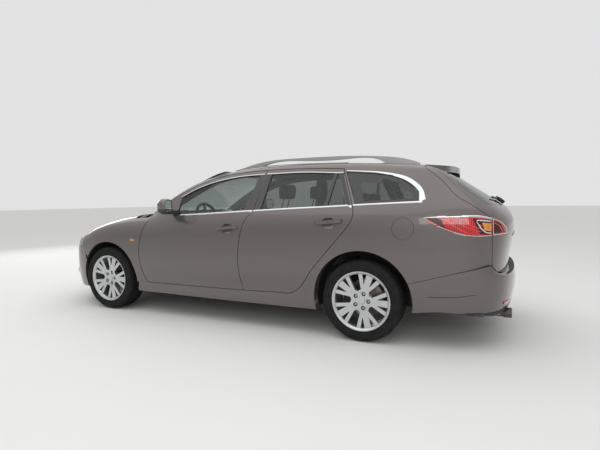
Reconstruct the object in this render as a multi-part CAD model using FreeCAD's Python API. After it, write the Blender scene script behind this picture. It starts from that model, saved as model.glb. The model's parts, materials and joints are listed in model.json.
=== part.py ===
"""A five-door estate car with roof rails, as an assembly of separate panels, glass, lamps, seats and running gear.

Frame: millimetres, +X forward, +Y to the car's left, +Z up, origin on the ground under the middle of the car.
The outer skin comes from a few master surfaces. Each one is a cubic surface over a net of poles, one row of poles
for each station of the body, and it can be drawn at any depth below the skin. A panel is what lies between two
depths, inside its own outline.
"""
import FreeCAD
import Part
import math
import os

V = FreeCAD.Vector

# Driving dimensions of the whole car
LENGTH = 4765.0
WHEELBASE = 2725.0
REAR_OVERHANG = 1100.0
TRACK = 1560.0

TAIL_X = -LENGTH / 2
REAR_AXLE_X = TAIL_X + REAR_OVERHANG
FRONT_AXLE_X = REAR_AXLE_X + WHEELBASE
WHEEL_Y = TRACK / 2

# Wheels
TYRE_RADIUS = 323.5
SPOKE_GROUPS = 5
FIRST_SPOKE = 110.0
# A group's openings: distance out along its broad spoke's line, distance across from that line
WEDGE_APEX = (133.0, 22.0)
WEDGE_TIP = (27.5, 62.0)
WIDE_ROOT = (88.0, 34.0)
WIDE_TIP = 92.0
SPOKE_TIP_RADIUS = 216.0
NUT_POCKET = 17.0
HUB_RADIUS = 76.0
HUB_BORE_RADIUS = 30.0
STUD_PITCH_RADIUS = 57.15
DISC_RADIUS = 150.0
DISC_THICKNESS = 24.0
DISC_Y = 742.0
AXLE_Z = TYRE_RADIUS
WHEEL_PLANE_OUT = 47.0
# Sections about the axle, outer side first: radius, distance out from the wheel's middle
TYRE_OUTER = [(216, 88), (236, 97.3), (241, 103), (262, 106.5), (292, 106), (310, 99), (320, 83), (TYRE_RADIUS, 60)]
TYRE_SECTION = TYRE_OUTER + [(r, -y) for r, y in reversed(TYRE_OUTER)]
RIM_SECTION = [(235.5, 97.6), (235.5, 103), (229, 103), (224, 99.5), (216, 93), (211, 84), (211, -84), (226, -103),
               (235.5, -103), (235.5, -97.6), (215.7, -88.3), (215.7, 88.3)]
FACE_SECTION = [(30, 74), (62, 76), (80, 80), (150, 86), (213.5, 91), (213.5, 66), (150, 58), (80, 47), (30, 47)]

# Running gear
STEER_AXIS_Y = 690.0
STRUT_Y = 635.0
RAIL_INNER_Y = 430.0

# Panels, gaps and seats
SKIN = 28.0
FRAME_DEPTH = 85.0
DOOR_DEPTH = 150.0
DOOR_INNER_Y = 715.0
DOOR_GAP = 5.0
PANEL_GAP = 3.0
SEAT_GAP = 0.3
# How far a door's inner box stays inside its skin's edge
DOOR_BOX_INSET = 66.0
GLASS_DEPTH = 8.0
GLASS = 5.0
FRONT_ARCH_RADIUS = 380.0
REAR_ARCH_RADIUS = 397.0
LINER = 6.0
FRONT_LINER_RADIUS = 395.0
REAR_LINER_RADIUS = 402.0
ROOF_EDGE_Y = 538.0
RAIL_Y = 562.0
RAIL_WIDTH = 34.0
FLAP_X = -1607.0
FLAP_Z = 898.0
FLAP_RADIUS = 80.0
SEAT_Y = 365.0

# Door mirror: the middle of its glass, its half sizes, how far it looks inwards, and sections of its shell as
# distance forward of the glass and share of the full size
MIRROR_X = 528.0
MIRROR_Y = 970.0
MIRROR_Z = 1070.0
MIRROR_HALF_WIDTH = 84.0
MIRROR_HALF_HEIGHT = 72.0
MIRROR_TURN = 14.0
MIRROR_SHELL = [(0, 0.86), (28, 1.0), (60, 0.95), (88, 0.74), (104, 0.42)]
MIRROR_POCKET = [(-10, 0.76), (5, 0.76)]

# Door handles: the bar's two ends on the door, x and z, the dish behind it, and the bar's own shape
HANDLES = {"front": ((64, 866), (-175, 889)), "rear": ((-897, 930), (-1141, 953))}
HANDLE_HEIGHT = 27.0
HANDLE_OUT = 34.0
HANDLE_THICKNESS = 13.0
DISH_RADIUS = 46.0
DISH_DEPTH = 17.0
DISH_LENGTH = 26.0

# Cabin stations, front to rear: x, half width at the waist, height of the belt, top of the side glass, roof's edge
CABIN = [
    (1500, 893, 905, 925, 945),
    (1250, 889, 925, 940, 985),
    (1000, 888, 932, 958, 1035),
    (750, 890, 948, 1085, 1165),
    (500, 893, 970, 1215, 1287),
    (250, 896, 986, 1310, 1364),
    (0, 898, 1000, 1360, 1405),
    (-350, 898, 1018, 1380, 1430),
    (-750, 897, 1040, 1372, 1437),
    (-1150, 894, 1060, 1358, 1427),
    (-1500, 888, 1080, 1332, 1406),
    (-1750, 878, 1096, 1300, 1381),
]

# Roof stations behind the last cabin station, with the same columns
ROOF_TAIL = [(-2000, 850, 1110, 1265, 1354), (-2250, 795, 1120, 1225, 1322)]

# Front stations, rear to front: x, half width, height of the shoulder, crest y, crest z, bonnet z at y 0.72 of the
# crest's, at 0.38 of it, and at the centre
FRONT = [
    (500, 893, 970, 790, 1005, 1022, 1030, 1032),
    (750, 890, 948, 788, 992, 1012, 1022, 1025),
    (1000, 888, 932, 780, 985, 1003, 1013, 1016),
    (1250, 889, 925, 770, 962, 982, 993, 996),
    (1500, 893, 905, 757, 912, 937, 950, 954),
    (1700, 879, 850, 738, 857, 888, 905, 910),
    (1850, 855, 782, 712, 800, 838, 861, 868),
    (2000, 832, 720, 690, 742, 783, 811, 820),
    (2200, 820, 650, 655, 655, 698, 731, 742),
    (2420, 812, 600, 620, 560, 602, 640, 655),
]

# Height of each lower row as a share of the belt's height, how far it stands outside the waist's half width, and how
# much further out it stands between the wheels, where the sill swells under the doors
SIDE_ROWS = [
    (0.150, -46, -4), (0.235, -34, 15), (0.330, -17, -27), (0.480, -2, 1),
    (0.680, 3, 0), (0.825, -2, 0), (0.900, -10, 0), (0.975, -38, 0),
]
SILL_REAR_X = -1000.0
SILL_FRONT_X = 1100.0

# Tail centre for each row of the side, bottom to top: x, z
TAIL_ROWS = [
    (-2300, 160), (-2310, 240), (-2316, 330), (-2324, 500), (-2344, 700), (-2378, 880), (-2364, 978), (-2303, 1056),
    (-2208, 1128), (-2129, 1178), (-2040, 1238), (-1942, 1303), (-1872, 1348), (-1840, 1368), (-1812, 1385),
]
# The corner from the last cabin station round to the tail's centre: share of the length, of the width, of the climb
TAIL_CORNER = [
    (0.38, 0.976, 0.35), (0.66, 0.926, 0.65), (0.85, 0.804, 0.85), (0.945, 0.593, 0.95), (0.99, 0.296, 1.0), (1, 0, 1),
]
# Rear bumper's centre for its lower rows: x, z
REAR_BUMPER_ROWS = [(-2215, 165), (-2318, 205), (-2366, 300), (-2388, 420), (-2392, 520), (-2372, 588), (-2335, 640)]

# Nose centre for each row, bottom to top: x, z
NOSE_ROWS = [
    (2235, 150), (2335, 215), (2377, 310), (2391, 440), (2381, 580), (2348, 668), (2300, 722), (2240, 765),
]
NOSE_CORNER = [
    (0.24, 0.955, 0.35), (0.48, 0.83, 0.65), (0.71, 0.68, 0.85), (0.88, 0.46, 0.95), (0.975, 0.23, 1.0), (1, 0, 1),
]

# Windscreen's centre line from the cowl up: x, z; each height sweeps back by y squared over twice the plan radius
SCREEN_LINE = [
    (1282, 885), (1135, 985), (955, 1106), (791, 1200), (598, 1298), (416, 1358), (236, 1402), (80, 1432),
]
SCREEN_COLUMNS = (800, 450, 0, -450, -800)
SCREEN_RADIUS = 1500.0
SCREEN_THICKNESS = 6.0
SCREEN_BASE_Z = 938.0
HEADER_Z = 1396.0


def mirrored(shape):
    """The same shape on the car's other side."""
    return shape.mirror(V(0, 0, 0), V(0, 1, 0))


def both(shape):
    return Part.makeCompound([shape, mirrored(shape)])


def side_row_poles(x, width, belt):
    """The eight lower poles of a section, from the sill's foot to the shoulder: y, z."""
    swell = 1 if SILL_REAR_X < x < SILL_FRONT_X else 0
    return [(width + out + sill * swell, belt * share) for share, out, sill in SIDE_ROWS]


def cabin_poles(x, width, belt, glass_top, edge):
    """The poles of half a cabin section, from the sill's foot up the glass and over to the roof's centre."""
    def glass_y(z):
        return width - 56 - (z - belt) * 0.49
    upper = [
        (width - 85, belt + 60),
        (glass_y((belt + glass_top) / 2), (belt + glass_top) / 2),
        (glass_y(glass_top - 18), glass_top - 18),
        (glass_y(edge - 4), edge - 4),
        (540, edge + 3),
        (280, edge + 17),
        (4, edge + 22),
    ]
    if glass_top < belt + 100:
        climb = edge + 3 - belt
        upper[0] = (width - 95, belt + 0.15 * climb)
        upper[1] = (width - 130, belt + 0.35 * climb)
        upper[2] = (width - 165, belt + 0.60 * climb)
        upper[3] = (width - 210, belt + 0.85 * climb)
    return [V(x, y, z) for y, z in side_row_poles(x, width, belt) + upper]


def front_poles(x, width, shoulder, crest_y, crest_z, z_outer, z_inner, z_centre):
    """The poles of half a front section, from the sill's foot over the wing's crest to the bonnet's centre."""
    upper = [(crest_y, crest_z), (0.72 * crest_y, z_outer), (0.38 * crest_y, z_inner), (0, z_centre)]
    return [V(x, y, z) for y, z in side_row_poles(x, width, shoulder) + upper]


def corner_poles(last, corner, ends):
    """Rows of poles that carry a side's last station round a corner to the centre line."""
    out = []
    for along, across, climb in corner:
        out.append([V(p.x + (x - p.x) * along, p.y * across, p.z + (z - p.z) * climb)
                    for p, (x, z) in zip(last, ends)])
    return out


def reflected_row(row):
    return [V(p.x, -p.y, p.z) for p in row]


def u_net(stations, corner):
    """A net that runs from one side round the end of the car to the other side."""
    half = stations + corner
    return half + [reflected_row(row) for row in reversed(half[:-1])]


def arch_net(stations):
    """A net whose sections run from one sill over the top to the other sill."""
    net = []
    for row in stations:
        half = row[:-1] + [V(row[-1].x, 0, row[-1].z)]
        net.append(half + [V(p.x, -p.y, p.z) for p in reversed(half[:-1])])
    return net


def tail_net():
    stations = [cabin_poles(*row) for row in CABIN]
    return u_net(stations, corner_poles(stations[-1], TAIL_CORNER, TAIL_ROWS))


def rear_bumper_net():
    rows = len(REAR_BUMPER_ROWS)
    stations = [cabin_poles(*row)[:rows] for row in CABIN[-5:]]
    return u_net(stations, corner_poles(stations[-1], TAIL_CORNER, REAR_BUMPER_ROWS))


def nose_net():
    rows = len(NOSE_ROWS)
    stations = [front_poles(*row)[:rows] for row in FRONT[:7]]
    return u_net(stations, corner_poles(stations[-1], NOSE_CORNER, NOSE_ROWS))


def front_net():
    return arch_net([front_poles(*row) for row in FRONT])


def roof_net():
    return arch_net([cabin_poles(*row) for row in CABIN[3:] + ROOF_TAIL])


def screen_net():
    return [[V(x - y * y / (2 * SCREEN_RADIUS), y, z) for y in SCREEN_COLUMNS] for x, z in SCREEN_LINE]


def unit(v):
    return V(v).normalize()


def at_depth(net, depth):
    """The net moved inwards along its own normals."""
    if depth == 0:
        return net
    last_i, last_j = len(net) - 1, len(net[0]) - 1
    moved = []
    for i, row in enumerate(net):
        line = []
        for j, pole in enumerate(row):
            along = net[min(i + 1, last_i)][j] - net[max(i - 1, 0)][j]
            across = row[min(j + 1, last_j)] - row[max(j - 1, 0)]
            line.append(pole - unit(across.cross(along)) * depth * OUTWARD[id(net)])
        moved.append(line)
    return moved


def surface_of(net):
    def knots(count):
        return [float(k) for k in range(count - 2)]

    def multiplicities(count):
        return [4] + [1] * (count - 4) + [4]
    rows, columns = len(net), len(net[0])
    surface = Part.BSplineSurface()
    surface.buildFromPolesMultsKnots(
        net, multiplicities(rows), multiplicities(columns), knots(rows), knots(columns), False, False, 3, 3)
    return surface


def layer(net, outer, inner):
    """The solid between two depths of a master surface."""
    top, bottom = surface_of(at_depth(net, outer)), surface_of(at_depth(net, inner))
    u0, u1, v0, v1 = top.bounds()
    faces = [top.toShape(), bottom.toShape()]
    for pick, value in (("uIso", u0), ("uIso", u1), ("vIso", v0), ("vIso", v1)):
        edges = [getattr(s, pick)(value).toShape() for s in (top, bottom)]
        faces.append(Part.makeRuledSurface(edges[0], edges[1]))
    shell = Part.makeShell(faces)
    shell.sewShape()
    solid = Part.makeSolid(shell)
    if solid.Volume < 0:
        solid.reverse()
    return solid


def grow(outline, distance):
    """An outline moved outwards by a distance; its runs keep their corners."""
    flat = [p for run in outline for p in run[:-1]]
    count = len(flat)
    area = sum(flat[i][0] * flat[(i + 1) % count][1] - flat[(i + 1) % count][0] * flat[i][1] for i in range(count))
    turn = math.copysign(1, area)
    moved = []
    for i, (a, b) in enumerate(flat):
        (a0, b0), (a1, b1) = flat[i - 1], flat[(i + 1) % count]
        d0, d1 = math.hypot(a - a0, b - b0), math.hypot(a1 - a, b1 - b)
        n0 = ((b - b0) / d0 * turn, -(a - a0) / d0 * turn)
        n1 = ((b1 - b) / d1 * turn, -(a1 - a) / d1 * turn)
        share = distance / max(1 + n0[0] * n1[0] + n0[1] * n1[1], 0.35)
        moved.append((a + (n0[0] + n1[0]) * share, b + (n0[1] + n1[1]) * share))
    out, k = [], 0
    for run in outline:
        size = len(run) - 1
        out.append([moved[(k + i) % count] for i in range(size + 1)])
        k += size
    return out


def prism(outline, place, start, end):
    """An outline of lines and smooth curves, drawn across the car, from above or from behind, and extruded."""
    edges = []
    for run in outline:
        points = [place(a, b, start) for a, b in run]
        if len(points) == 2:
            edges.append(Part.LineSegment(points[0], points[1]).toShape())
        else:
            curve = Part.BSplineCurve()
            curve.interpolate(points)
            edges.append(curve.toShape())
    face = Part.Face(Part.Wire(edges))
    return face.extrude(place(0, 0, end) - place(0, 0, start))


def side_prism(outline, y0, y1):
    return prism(outline, lambda a, b, c: V(a, c, b), y0, y1)


def plan_prism(outline, z0, z1):
    return prism(outline, lambda a, b, c: V(a, b, c), z0, z1)


def rear_prism(outline, x0, x1):
    return prism(outline, lambda a, b, c: V(c, a, b), x0, x1)


def box(x0, x1, y0, y1, z0, z1):
    return Part.makeBox(x1 - x0, y1 - y0, z1 - z0, V(x0, y0, z0))


def largest(shape):
    """The biggest solid of a cut, without the offcuts."""
    return max(shape.Solids, key=lambda solid: solid.Volume)


def fused(pieces):
    return pieces[0].multiFuse(pieces[1:])


def tube_z(x, y, radius, z0, z1):
    """An upright cylinder."""
    return Part.makeCylinder(radius, z1 - z0, V(x, y, z0))


def rod(start, end, radius):
    """A round bar between two points."""
    return Part.makeCylinder(radius, (end - start).Length, start, end - start)


def tube_y(x, z, radius, y0, y1):
    """A cylinder across the car."""
    return Part.makeCylinder(radius, y1 - y0, V(x, y0, z), V(0, 1, 0))


def polygon(*points):
    """An outline of straight lines."""
    return [[points[i], points[(i + 1) % len(points)]] for i in range(len(points))]


TAIL, BUMPER, NOSE = tail_net(), rear_bumper_net(), nose_net()
FRONT_END, ROOF, SCREEN = front_net(), roof_net(), screen_net()
# Which way each net's normals point
OUTWARD = {id(TAIL): -1, id(BUMPER): -1, id(NOSE): 1, id(FRONT_END): 1, id(ROOF): -1, id(SCREEN): -1}

# Outlines seen from the side, as runs of points x, z: two points are a line, more are a smooth curve.
# A door's seam lines are the middle of its gap.
FENDER_SEAM = [(900, 968), (938, 880), (976, 783), (1001, 664), (998, 546), (969, 405), (924, 316)]
DOOR_FOOT = [(924, 316), (389, 318), (-207, 325)]
DOOR_SEAM = [(-207, 325), (-176, 460), (-169, 630), (-192, 811), (-225, 924), (-297, 1020)]
REAR_SEAM = [(-590, 335), (-714, 358), (-777, 412), (-845, 510), (-951, 640), (-1058, 764), (-1158, 880), (-1213, 974),
             (-1207, 1063)]
PILLAR_TOP = [(-353, 1387), (-57, 1371), (190, 1333), (450, 1250), (726, 1102), (900, 968)]
FRONT_DOOR = [
    FENDER_SEAM, DOOR_FOOT, DOOR_SEAM, [(-297, 1020), (-353, 1387)], PILLAR_TOP,
]
REAR_DOOR = [
    DOOR_SEAM[::-1], [(-207, 325), (-590, 335)], REAR_SEAM, [(-1207, 1063), (-1085, 1373)],
    [(-1085, 1373), (-721, 1388), (-353, 1387)], [(-353, 1387), (-297, 1020)],
]
BOTH_DOORS = [
    FENDER_SEAM, DOOR_FOOT, [(-207, 325), (-590, 335)], REAR_SEAM,
    [(-1207, 1063), (-1085, 1373)], [(-1085, 1373), (-721, 1388), (-353, 1387)], PILLAR_TOP,
]
FRONT_WINDOW = [
    [(560, 987), (180, 1007), (-196, 1029)], [(-196, 1029), (-285, 1345)],
    [(-285, 1345), (-57, 1332), (190, 1293), (400, 1229), (563, 1150)], [(563, 1150), (560, 987)],
]
REAR_WINDOW = [
    [(-370, 1037), (-660, 1053), (-961, 1067)], [(-961, 1067), (-1009, 1335)],
    [(-1009, 1335), (-720, 1350), (-406, 1347)], [(-406, 1347), (-370, 1037)],
]
REAR_PANE = polygon((-993, 1069), (-1146, 1077), (-1051, 1331), (-1034, 1333))
QUARTER_WINDOW = [
    [(-1226, 1082), (-1738, 1104)],
    [(-1738, 1104), (-1704, 1178), (-1635, 1240), (-1544, 1284), (-1365, 1324), (-1108, 1347)],
    [(-1108, 1347), (-1226, 1082)],
]
TAIL_LAMP = [
    [(-1745, 981), (-1852, 918), (-1970, 873), (-2085, 850), (-2212, 852)], [(-2212, 852), (-2209, 978)],
    [(-2209, 978), (-2154, 995), (-2004, 998), (-1831, 991), (-1745, 981)],
]
TAILGATE_LAMP = [
    [(-2216, 852), (-2312, 858)], [(-2312, 858), (-2306, 900), (-2280, 938), (-2250, 962), (-2212, 977)],
    [(-2212, 977), (-2216, 852)],
]
TAILGATE_SEAM = [(-1728, 1370), (-1779, 1325), (-1873, 1247), (-1962, 1147), (-2093, 1061), (-2156, 1014), (-2208, 978)]
TAILGATE_FOOT = [(-2214, 640), (-2250, 585), (-2330, 562)]
TAILGATE = [
    TAILGATE_SEAM, [(-2208, 978), (-2214, 852)], [(-2214, 852), (-2214, 640)], TAILGATE_FOOT,
    [(-2330, 562), (-2480, 562)],
    [(-2480, 562), (-2480, 1480)], [(-2480, 1480), (-1728, 1480)], [(-1728, 1480), (-1728, 1370)],
]
BUMPER_SEAM = [(-1600, 470), (-1850, 545), (-2060, 602), (-2214, 640)]
REAR_BUMPER = [
    BUMPER_SEAM, TAILGATE_FOOT, [(-2330, 562), (-2480, 562)], [(-2480, 562), (-2480, 205)],
    [(-2480, 205), (-2250, 255), (-2000, 285), (-1600, 240)], [(-1600, 240), (-1600, 470)],
]
# The long crease in each side of the rear bumper, and the shelf that the tailgate shuts over
BUMPER_CREASE = [[(-1780, 397), (-1950, 402), (-2120, 431)], [(-2120, 431), (-1950, 429), (-1780, 397)]]
CREASE_DEPTH = 6.0
SHELF = polygon((-2250, 554), (-2330, 541), (-2480, 541), (-2480, 559), (-2330, 558), (-2250, 571))
SHELF_DEPTH = 92.0
SHELF_FRONT_X = -2262.0
SILL_LINE = [(1040, 220), (62, 217), (-477, 217), (-900, 218)]
SCREEN_EDGE = [(106, 1394), (276, 1351), (444, 1298), (622, 1200), (774, 1106), (950, 985)]
SCREEN_CORNER = (1000, SCREEN_BASE_Z)
# The left side's whole outline, with the flanges that reach 25 mm under the neighbouring panels
BODY_SIDE = [
    SILL_LINE, [(-900, 218), (-1640, 250)], [(-1640, 250), (-1800, 330)], [(-1800, 330), (-2250, 420)],
    [(-2250, 420), (-2250, 860)], [(-2250, 860), (-2240, 985)],
    [(-2240, 985), (-2120, 1072), (-1990, 1160), (-1898, 1262), (-1800, 1343), (-1740, 1378)],
    [(-1740, 1378), (-1740, 1480)], [(-1740, 1480), (150, 1480)], [(150, 1480), (150, 1376)],
    [(150, 1376), (290, 1333), (460, 1276), (640, 1176), (790, 1082), (968, 958)],
    [(968, 958), (1090, 900)], [(1090, 900), (1090, 300)], [(1090, 300), (1040, 220)],
]


def door_window_cut(window):
    return side_prism(window, 400, 1000)


def door(outline, windows, skin):
    """One left door: the skin with its window frame, and the box of the door behind it, below the belt."""
    panel = skin.common(side_prism(grow(outline, -DOOR_GAP / 2), 400, 1000))
    inner = grow(outline, -DOOR_BOX_INSET)
    box_layer = layer(TAIL, SKIN - 6, DOOR_DEPTH)
    below_belt = box(-1400, 965, DOOR_INNER_Y, 1000, 250, 940)
    inside = box_layer.common(side_prism(inner, 400, 1000)).common(below_belt)
    whole = panel.fuse(inside)
    for window in windows:
        whole = whole.cut(door_window_cut(window))
    return whole


def pane(window):
    """A fixed pane in a side window, just clear of its frame."""
    slab = layer(TAIL, GLASS_DEPTH, GLASS_DEPTH + GLASS)
    return slab.common(side_prism(grow(window, -SEAT_GAP), 400, 1000))


def skin_y(x, z):
    """How far out the car's left side lies at one x and z."""
    face = surface_of(TAIL).toShape()
    line = Part.makeLine(V(x, 300, z), V(x, 1000, z))
    return max(vertex.Y for vertex in face.section(line).Vertexes)


def with_handle(door_shape, front_end, rear_end):
    """A door with a pull bar over a dish in its skin."""
    (x0, z0), (x1, z1) = front_end, rear_end
    length = math.hypot(x1 - x0, z1 - z0)
    middle_x, middle_z = (x0 + x1) / 2, (z0 + z1) / 2
    y = skin_y(middle_x, middle_z)
    ball = (DISH_RADIUS ** 2 + DISH_DEPTH ** 2) / (2 * DISH_DEPTH)
    centre_y = y + ball - DISH_DEPTH
    ends = [V(middle_x + along, centre_y, middle_z) for along in (-DISH_LENGTH / 2, DISH_LENGTH / 2)]
    dish = fused([rod(ends[0], ends[1], ball)] + [Part.makeSphere(ball, end) for end in ends])
    half = length / 2
    outer = [(-half, -8), (-half + 22, HANDLE_OUT - 10), (0, HANDLE_OUT), (half - 22, HANDLE_OUT - 10), (half, -8)]
    inner = [(half - 26, -8), (half - 52, HANDLE_OUT - HANDLE_THICKNESS - 8), (0, HANDLE_OUT - HANDLE_THICKNESS),
             (-half + 52, HANDLE_OUT - HANDLE_THICKNESS - 8), (-half + 26, -8)]
    bar = plan_prism([outer, [outer[-1], inner[0]], inner, [inner[-1], outer[0]]], -HANDLE_HEIGHT / 2, HANDLE_HEIGHT / 2)
    bar.rotate(V(0, 0, 0), V(0, 1, 0), math.degrees(math.atan2(z1 - z0, x0 - x1)))
    bar.translate(V(middle_x, y, middle_z))
    return largest(door_shape.cut(dish).fuse(bar))


def make_doors():
    skin = layer(TAIL, 0, SKIN)
    front = with_handle(door(FRONT_DOOR, [FRONT_WINDOW], skin), *HANDLES["front"])
    rear = with_handle(door(REAR_DOOR, [REAR_WINDOW, REAR_PANE], skin), *HANDLES["rear"])
    glass_rear = Part.makeCompound([pane(REAR_WINDOW), pane(REAR_PANE)])
    left = {
        "door_front": front, "door_rear": rear,
        "door_glass_front": pane(FRONT_WINDOW), "door_glass_rear": glass_rear,
    }
    out = {}
    for name, shape in left.items():
        out[name + "_left"] = shape
        out[name + "_right"] = mirrored(shape)
    return out


def wheel_space(axle_x, radius):
    return tube_y(axle_x, AXLE_Z, radius, 400, 1000)


def make_body_side():
    """Sill, pillars, roof edge and rear quarter of the left side, with openings for the doors and the window."""
    whole = layer(TAIL, 0, FRAME_DEPTH).common(side_prism(BODY_SIDE, ROOF_EDGE_Y - 26, 1000))
    recess = layer(TAIL, -20, SKIN + SEAT_GAP)
    zones = [
        side_prism(grow(BOTH_DOORS, DOOR_GAP / 2), 400, 1000),
        side_prism(grow(TAIL_LAMP, PANEL_GAP / 2), 400, 1000),
        side_prism(grow(TAILGATE, PANEL_GAP / 2), 400, 1000),
        box(-2000, 400, 400, ROOF_EDGE_Y, 1200, 1500),
    ]
    for zone in zones:
        whole = whole.cut(recess.common(zone))
    whole = whole.cut(layer(FRONT_END, -60, SKIN + SEAT_GAP).common(side_prism(grow(WING, PANEL_GAP / 2), 400, 1000)))
    whole = whole.cut(spoiler_layer(-60, 46 + SEAT_GAP, PANEL_GAP)).cut(box(-2400, -2100, 0, 600, 100, 1100))
    bumper_zone = side_prism(grow(REAR_BUMPER, PANEL_GAP / 2), 400, 1000)
    whole = whole.cut(layer(BUMPER, -120, SKIN + SEAT_GAP).common(bumper_zone))
    for opening in (FRONT_DOOR, REAR_DOOR):
        whole = whole.cut(side_prism(grow(opening, -30), 400, 1000))
    whole = whole.cut(side_prism(QUARTER_WINDOW, 400, 1000))
    screen_zone = [SCREEN_EDGE, [(950, 985), SCREEN_CORNER], [SCREEN_CORNER, (1100, 880)], [(1100, 880), (1200, 1450)],
                   [(1200, 1450), (106, 1450)], [(106, 1450), (106, 1394)]]
    glass_space = layer(SCREEN, -90, SCREEN_THICKNESS + SEAT_GAP).common(side_prism(grow(screen_zone, 4), 400, 1000))
    whole = whole.cut(glass_space)
    whole = whole.cut(wheel_space(REAR_AXLE_X, REAR_ARCH_RADIUS))
    whole = whole.cut(wheel_space(FRONT_AXLE_X, FRONT_LINER_RADIUS + LINER + SEAT_GAP))
    flap_seat = Part.makeCylinder(FLAP_RADIUS + 2.5, 400, V(FLAP_X, 700, FLAP_Z), V(0, 1, 0))
    whole = whole.cut(layer(TAIL, -20, 12 + SEAT_GAP).common(flap_seat))
    pocket = Part.makeCylinder(FLAP_RADIUS - 12, 400, V(FLAP_X, 700, FLAP_Z), V(0, 1, 0))
    return whole.cut(layer(TAIL, -20, 45).common(pocket))


def make_fuel_flap():
    disc = Part.makeCylinder(FLAP_RADIUS, 400, V(FLAP_X, 700, FLAP_Z), V(0, 1, 0))
    return layer(TAIL, 0, 12).common(disc)


# Outlines seen from above, x and y
BONNET = [
    [(1163, 0), (1131, 300), (1048, 590), (1012, 684)], [(1012, 684), (1300, 676), (1700, 640), (1990, 585)],
    [(1990, 585), (2400, 585)], [(2400, 585), (2400, -585)], [(2400, -585), (1990, -585)],
    [(1990, -585), (1700, -640), (1300, -676), (1012, -684)], [(1012, -684), (1048, -590), (1131, -300), (1163, 0)],
]
ROOF_PANEL = [
    [(99, 534), (178, 300), (208, 0), (178, -300), (99, -534)], [(99, -534), (-1722, -534)],
    [(-1722, -534), (-1722, 534)], [(-1722, 534), (99, 534)],
]
SPOILER = [
    [(-1725, 585), (-1725, -585)], [(-1725, -585), (-1790, -590)],
    [(-1790, -590), (-1868, -530), (-1905, -350), (-1925, 0), (-1905, 350), (-1868, 530), (-1790, 590)],
    [(-1790, 590), (-1725, 585)],
]
# Seen from behind, y and z
TAIL_WINDOW = [
    [(-692, 1078), (-400, 1060), (0, 1054), (400, 1060), (692, 1078)], [(692, 1078), (692, 1150), (664, 1240), (608, 1320)],
    [(608, 1320), (0, 1332), (-608, 1320)], [(-608, 1320), (-664, 1240), (-692, 1150), (-692, 1078)],
]
UPPER_GRILLE = [
    [(-330, 600), (0, 596), (330, 600)], [(330, 600), (395, 672)], [(395, 672), (0, 684), (-395, 672)],
    [(-395, 672), (-330, 600)],
]
LOWER_GRILLE = [
    [(-470, 262), (470, 262)], [(470, 262), (520, 330), (500, 420)], [(500, 420), (0, 440), (-500, 420)],
    [(-500, 420), (-520, 330), (-470, 262)],
]
FOG_POCKET = [[(610, 300), (760, 300)], [(760, 300), (750, 380)], [(750, 380), (600, 400)], [(600, 400), (610, 300)]]
HEADLAMP = [
    [(420, 640), (600, 632), (960, 640)], [(960, 640), (960, 820)], [(960, 820), (400, 820)],
    [(400, 820), (420, 640)],
]
WING = [
    [(2000, 642), (1810, 642)], [(1810, 642), (1770, 560)], [(1770, 560), (1700, 200)], [(1700, 200), (1180, 200)],
    [(1180, 200), (1052, 315)], [(1052, 315), (929, 316)], [(x + 5, z) for x, z in reversed(FENDER_SEAM)],
    [(905, 968), (905, 1100)], [(905, 1100), (2000, 1100)], [(2000, 1100), (2000, 642)],
]
FRONT_BUMPER_SIDE = [
    [(1800, 560), (1830, 637)], [(1830, 637), (2500, 637)], [(2500, 637), (2500, 190)],
    [(2500, 190), (1700, 205)], [(1700, 205), (1800, 560)],
]


def spoiler_layer(outer, inner, margin):
    return layer(ROOF, outer, inner).common(plan_prism(grow(SPOILER, margin), 1150, 1500))


def make_tailgate():
    """The tail door: skin, inner frame and roof spoiler in one, with the window cut through."""
    skin = layer(TAIL, 0, SKIN).common(side_prism(grow(TAILGATE, -PANEL_GAP / 2), -1000, 1000))
    frame = layer(TAIL, SKIN - 6, 70).common(side_prism(grow(TAILGATE, -42), -1000, 1000))
    frame = frame.common(box(-2500, -1700, -1000, 1000, 500, 1330))
    whole = skin.fuse(frame).cut(rear_prism(TAIL_WINDOW, -2400, -1860))
    lamps = layer(TAIL, -20, SKIN + SEAT_GAP).common(side_prism(grow(TAILGATE_LAMP, PANEL_GAP / 2), 300, 1000))
    whole = whole.cut(lamps).cut(mirrored(lamps))
    return largest(whole.fuse(spoiler_layer(-4, 46, 0)))


def make_tailgate_glass():
    glass = layer(TAIL, GLASS_DEPTH, GLASS_DEPTH + GLASS).common(rear_prism(grow(TAIL_WINDOW, -SEAT_GAP), -2400, -1860))
    glass = glass.common(box(-2400, -1860, -700, 700, 1000, 1345))
    return largest(glass.cut(spoiler_layer(-4, 46 + SEAT_GAP, 1)))


def make_tail_lamps():
    return both(layer(TAIL, 0, SKIN).common(side_prism(TAIL_LAMP, 400, 1000)))


def make_tailgate_lamps():
    return both(layer(TAIL, 0, SKIN).common(side_prism(TAILGATE_LAMP, 300, 1000)))


def make_rear_bumper():
    skin = layer(BUMPER, 0, SKIN).common(side_prism(grow(REAR_BUMPER, -PANEL_GAP / 2), -1000, 1000))
    arch = wheel_space(REAR_AXLE_X, REAR_ARCH_RADIUS)
    pipe_space = box(-2450, -2100, 480 - 46, 480 + 46, 100, 291)
    shelf = layer(BUMPER, SKIN - 3, SHELF_DEPTH).common(side_prism(SHELF, -1000, 1000))
    shelf = shelf.common(box(-2500, SHELF_FRONT_X, -1000, 1000, 500, 700))
    crease = layer(BUMPER, -10, CREASE_DEPTH).common(side_prism(BUMPER_CREASE, 500, 1000))
    whole = skin.fuse(shelf).cut(crease).cut(mirrored(crease))
    return whole.cut(arch).cut(mirrored(arch)).cut(pipe_space)


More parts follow.
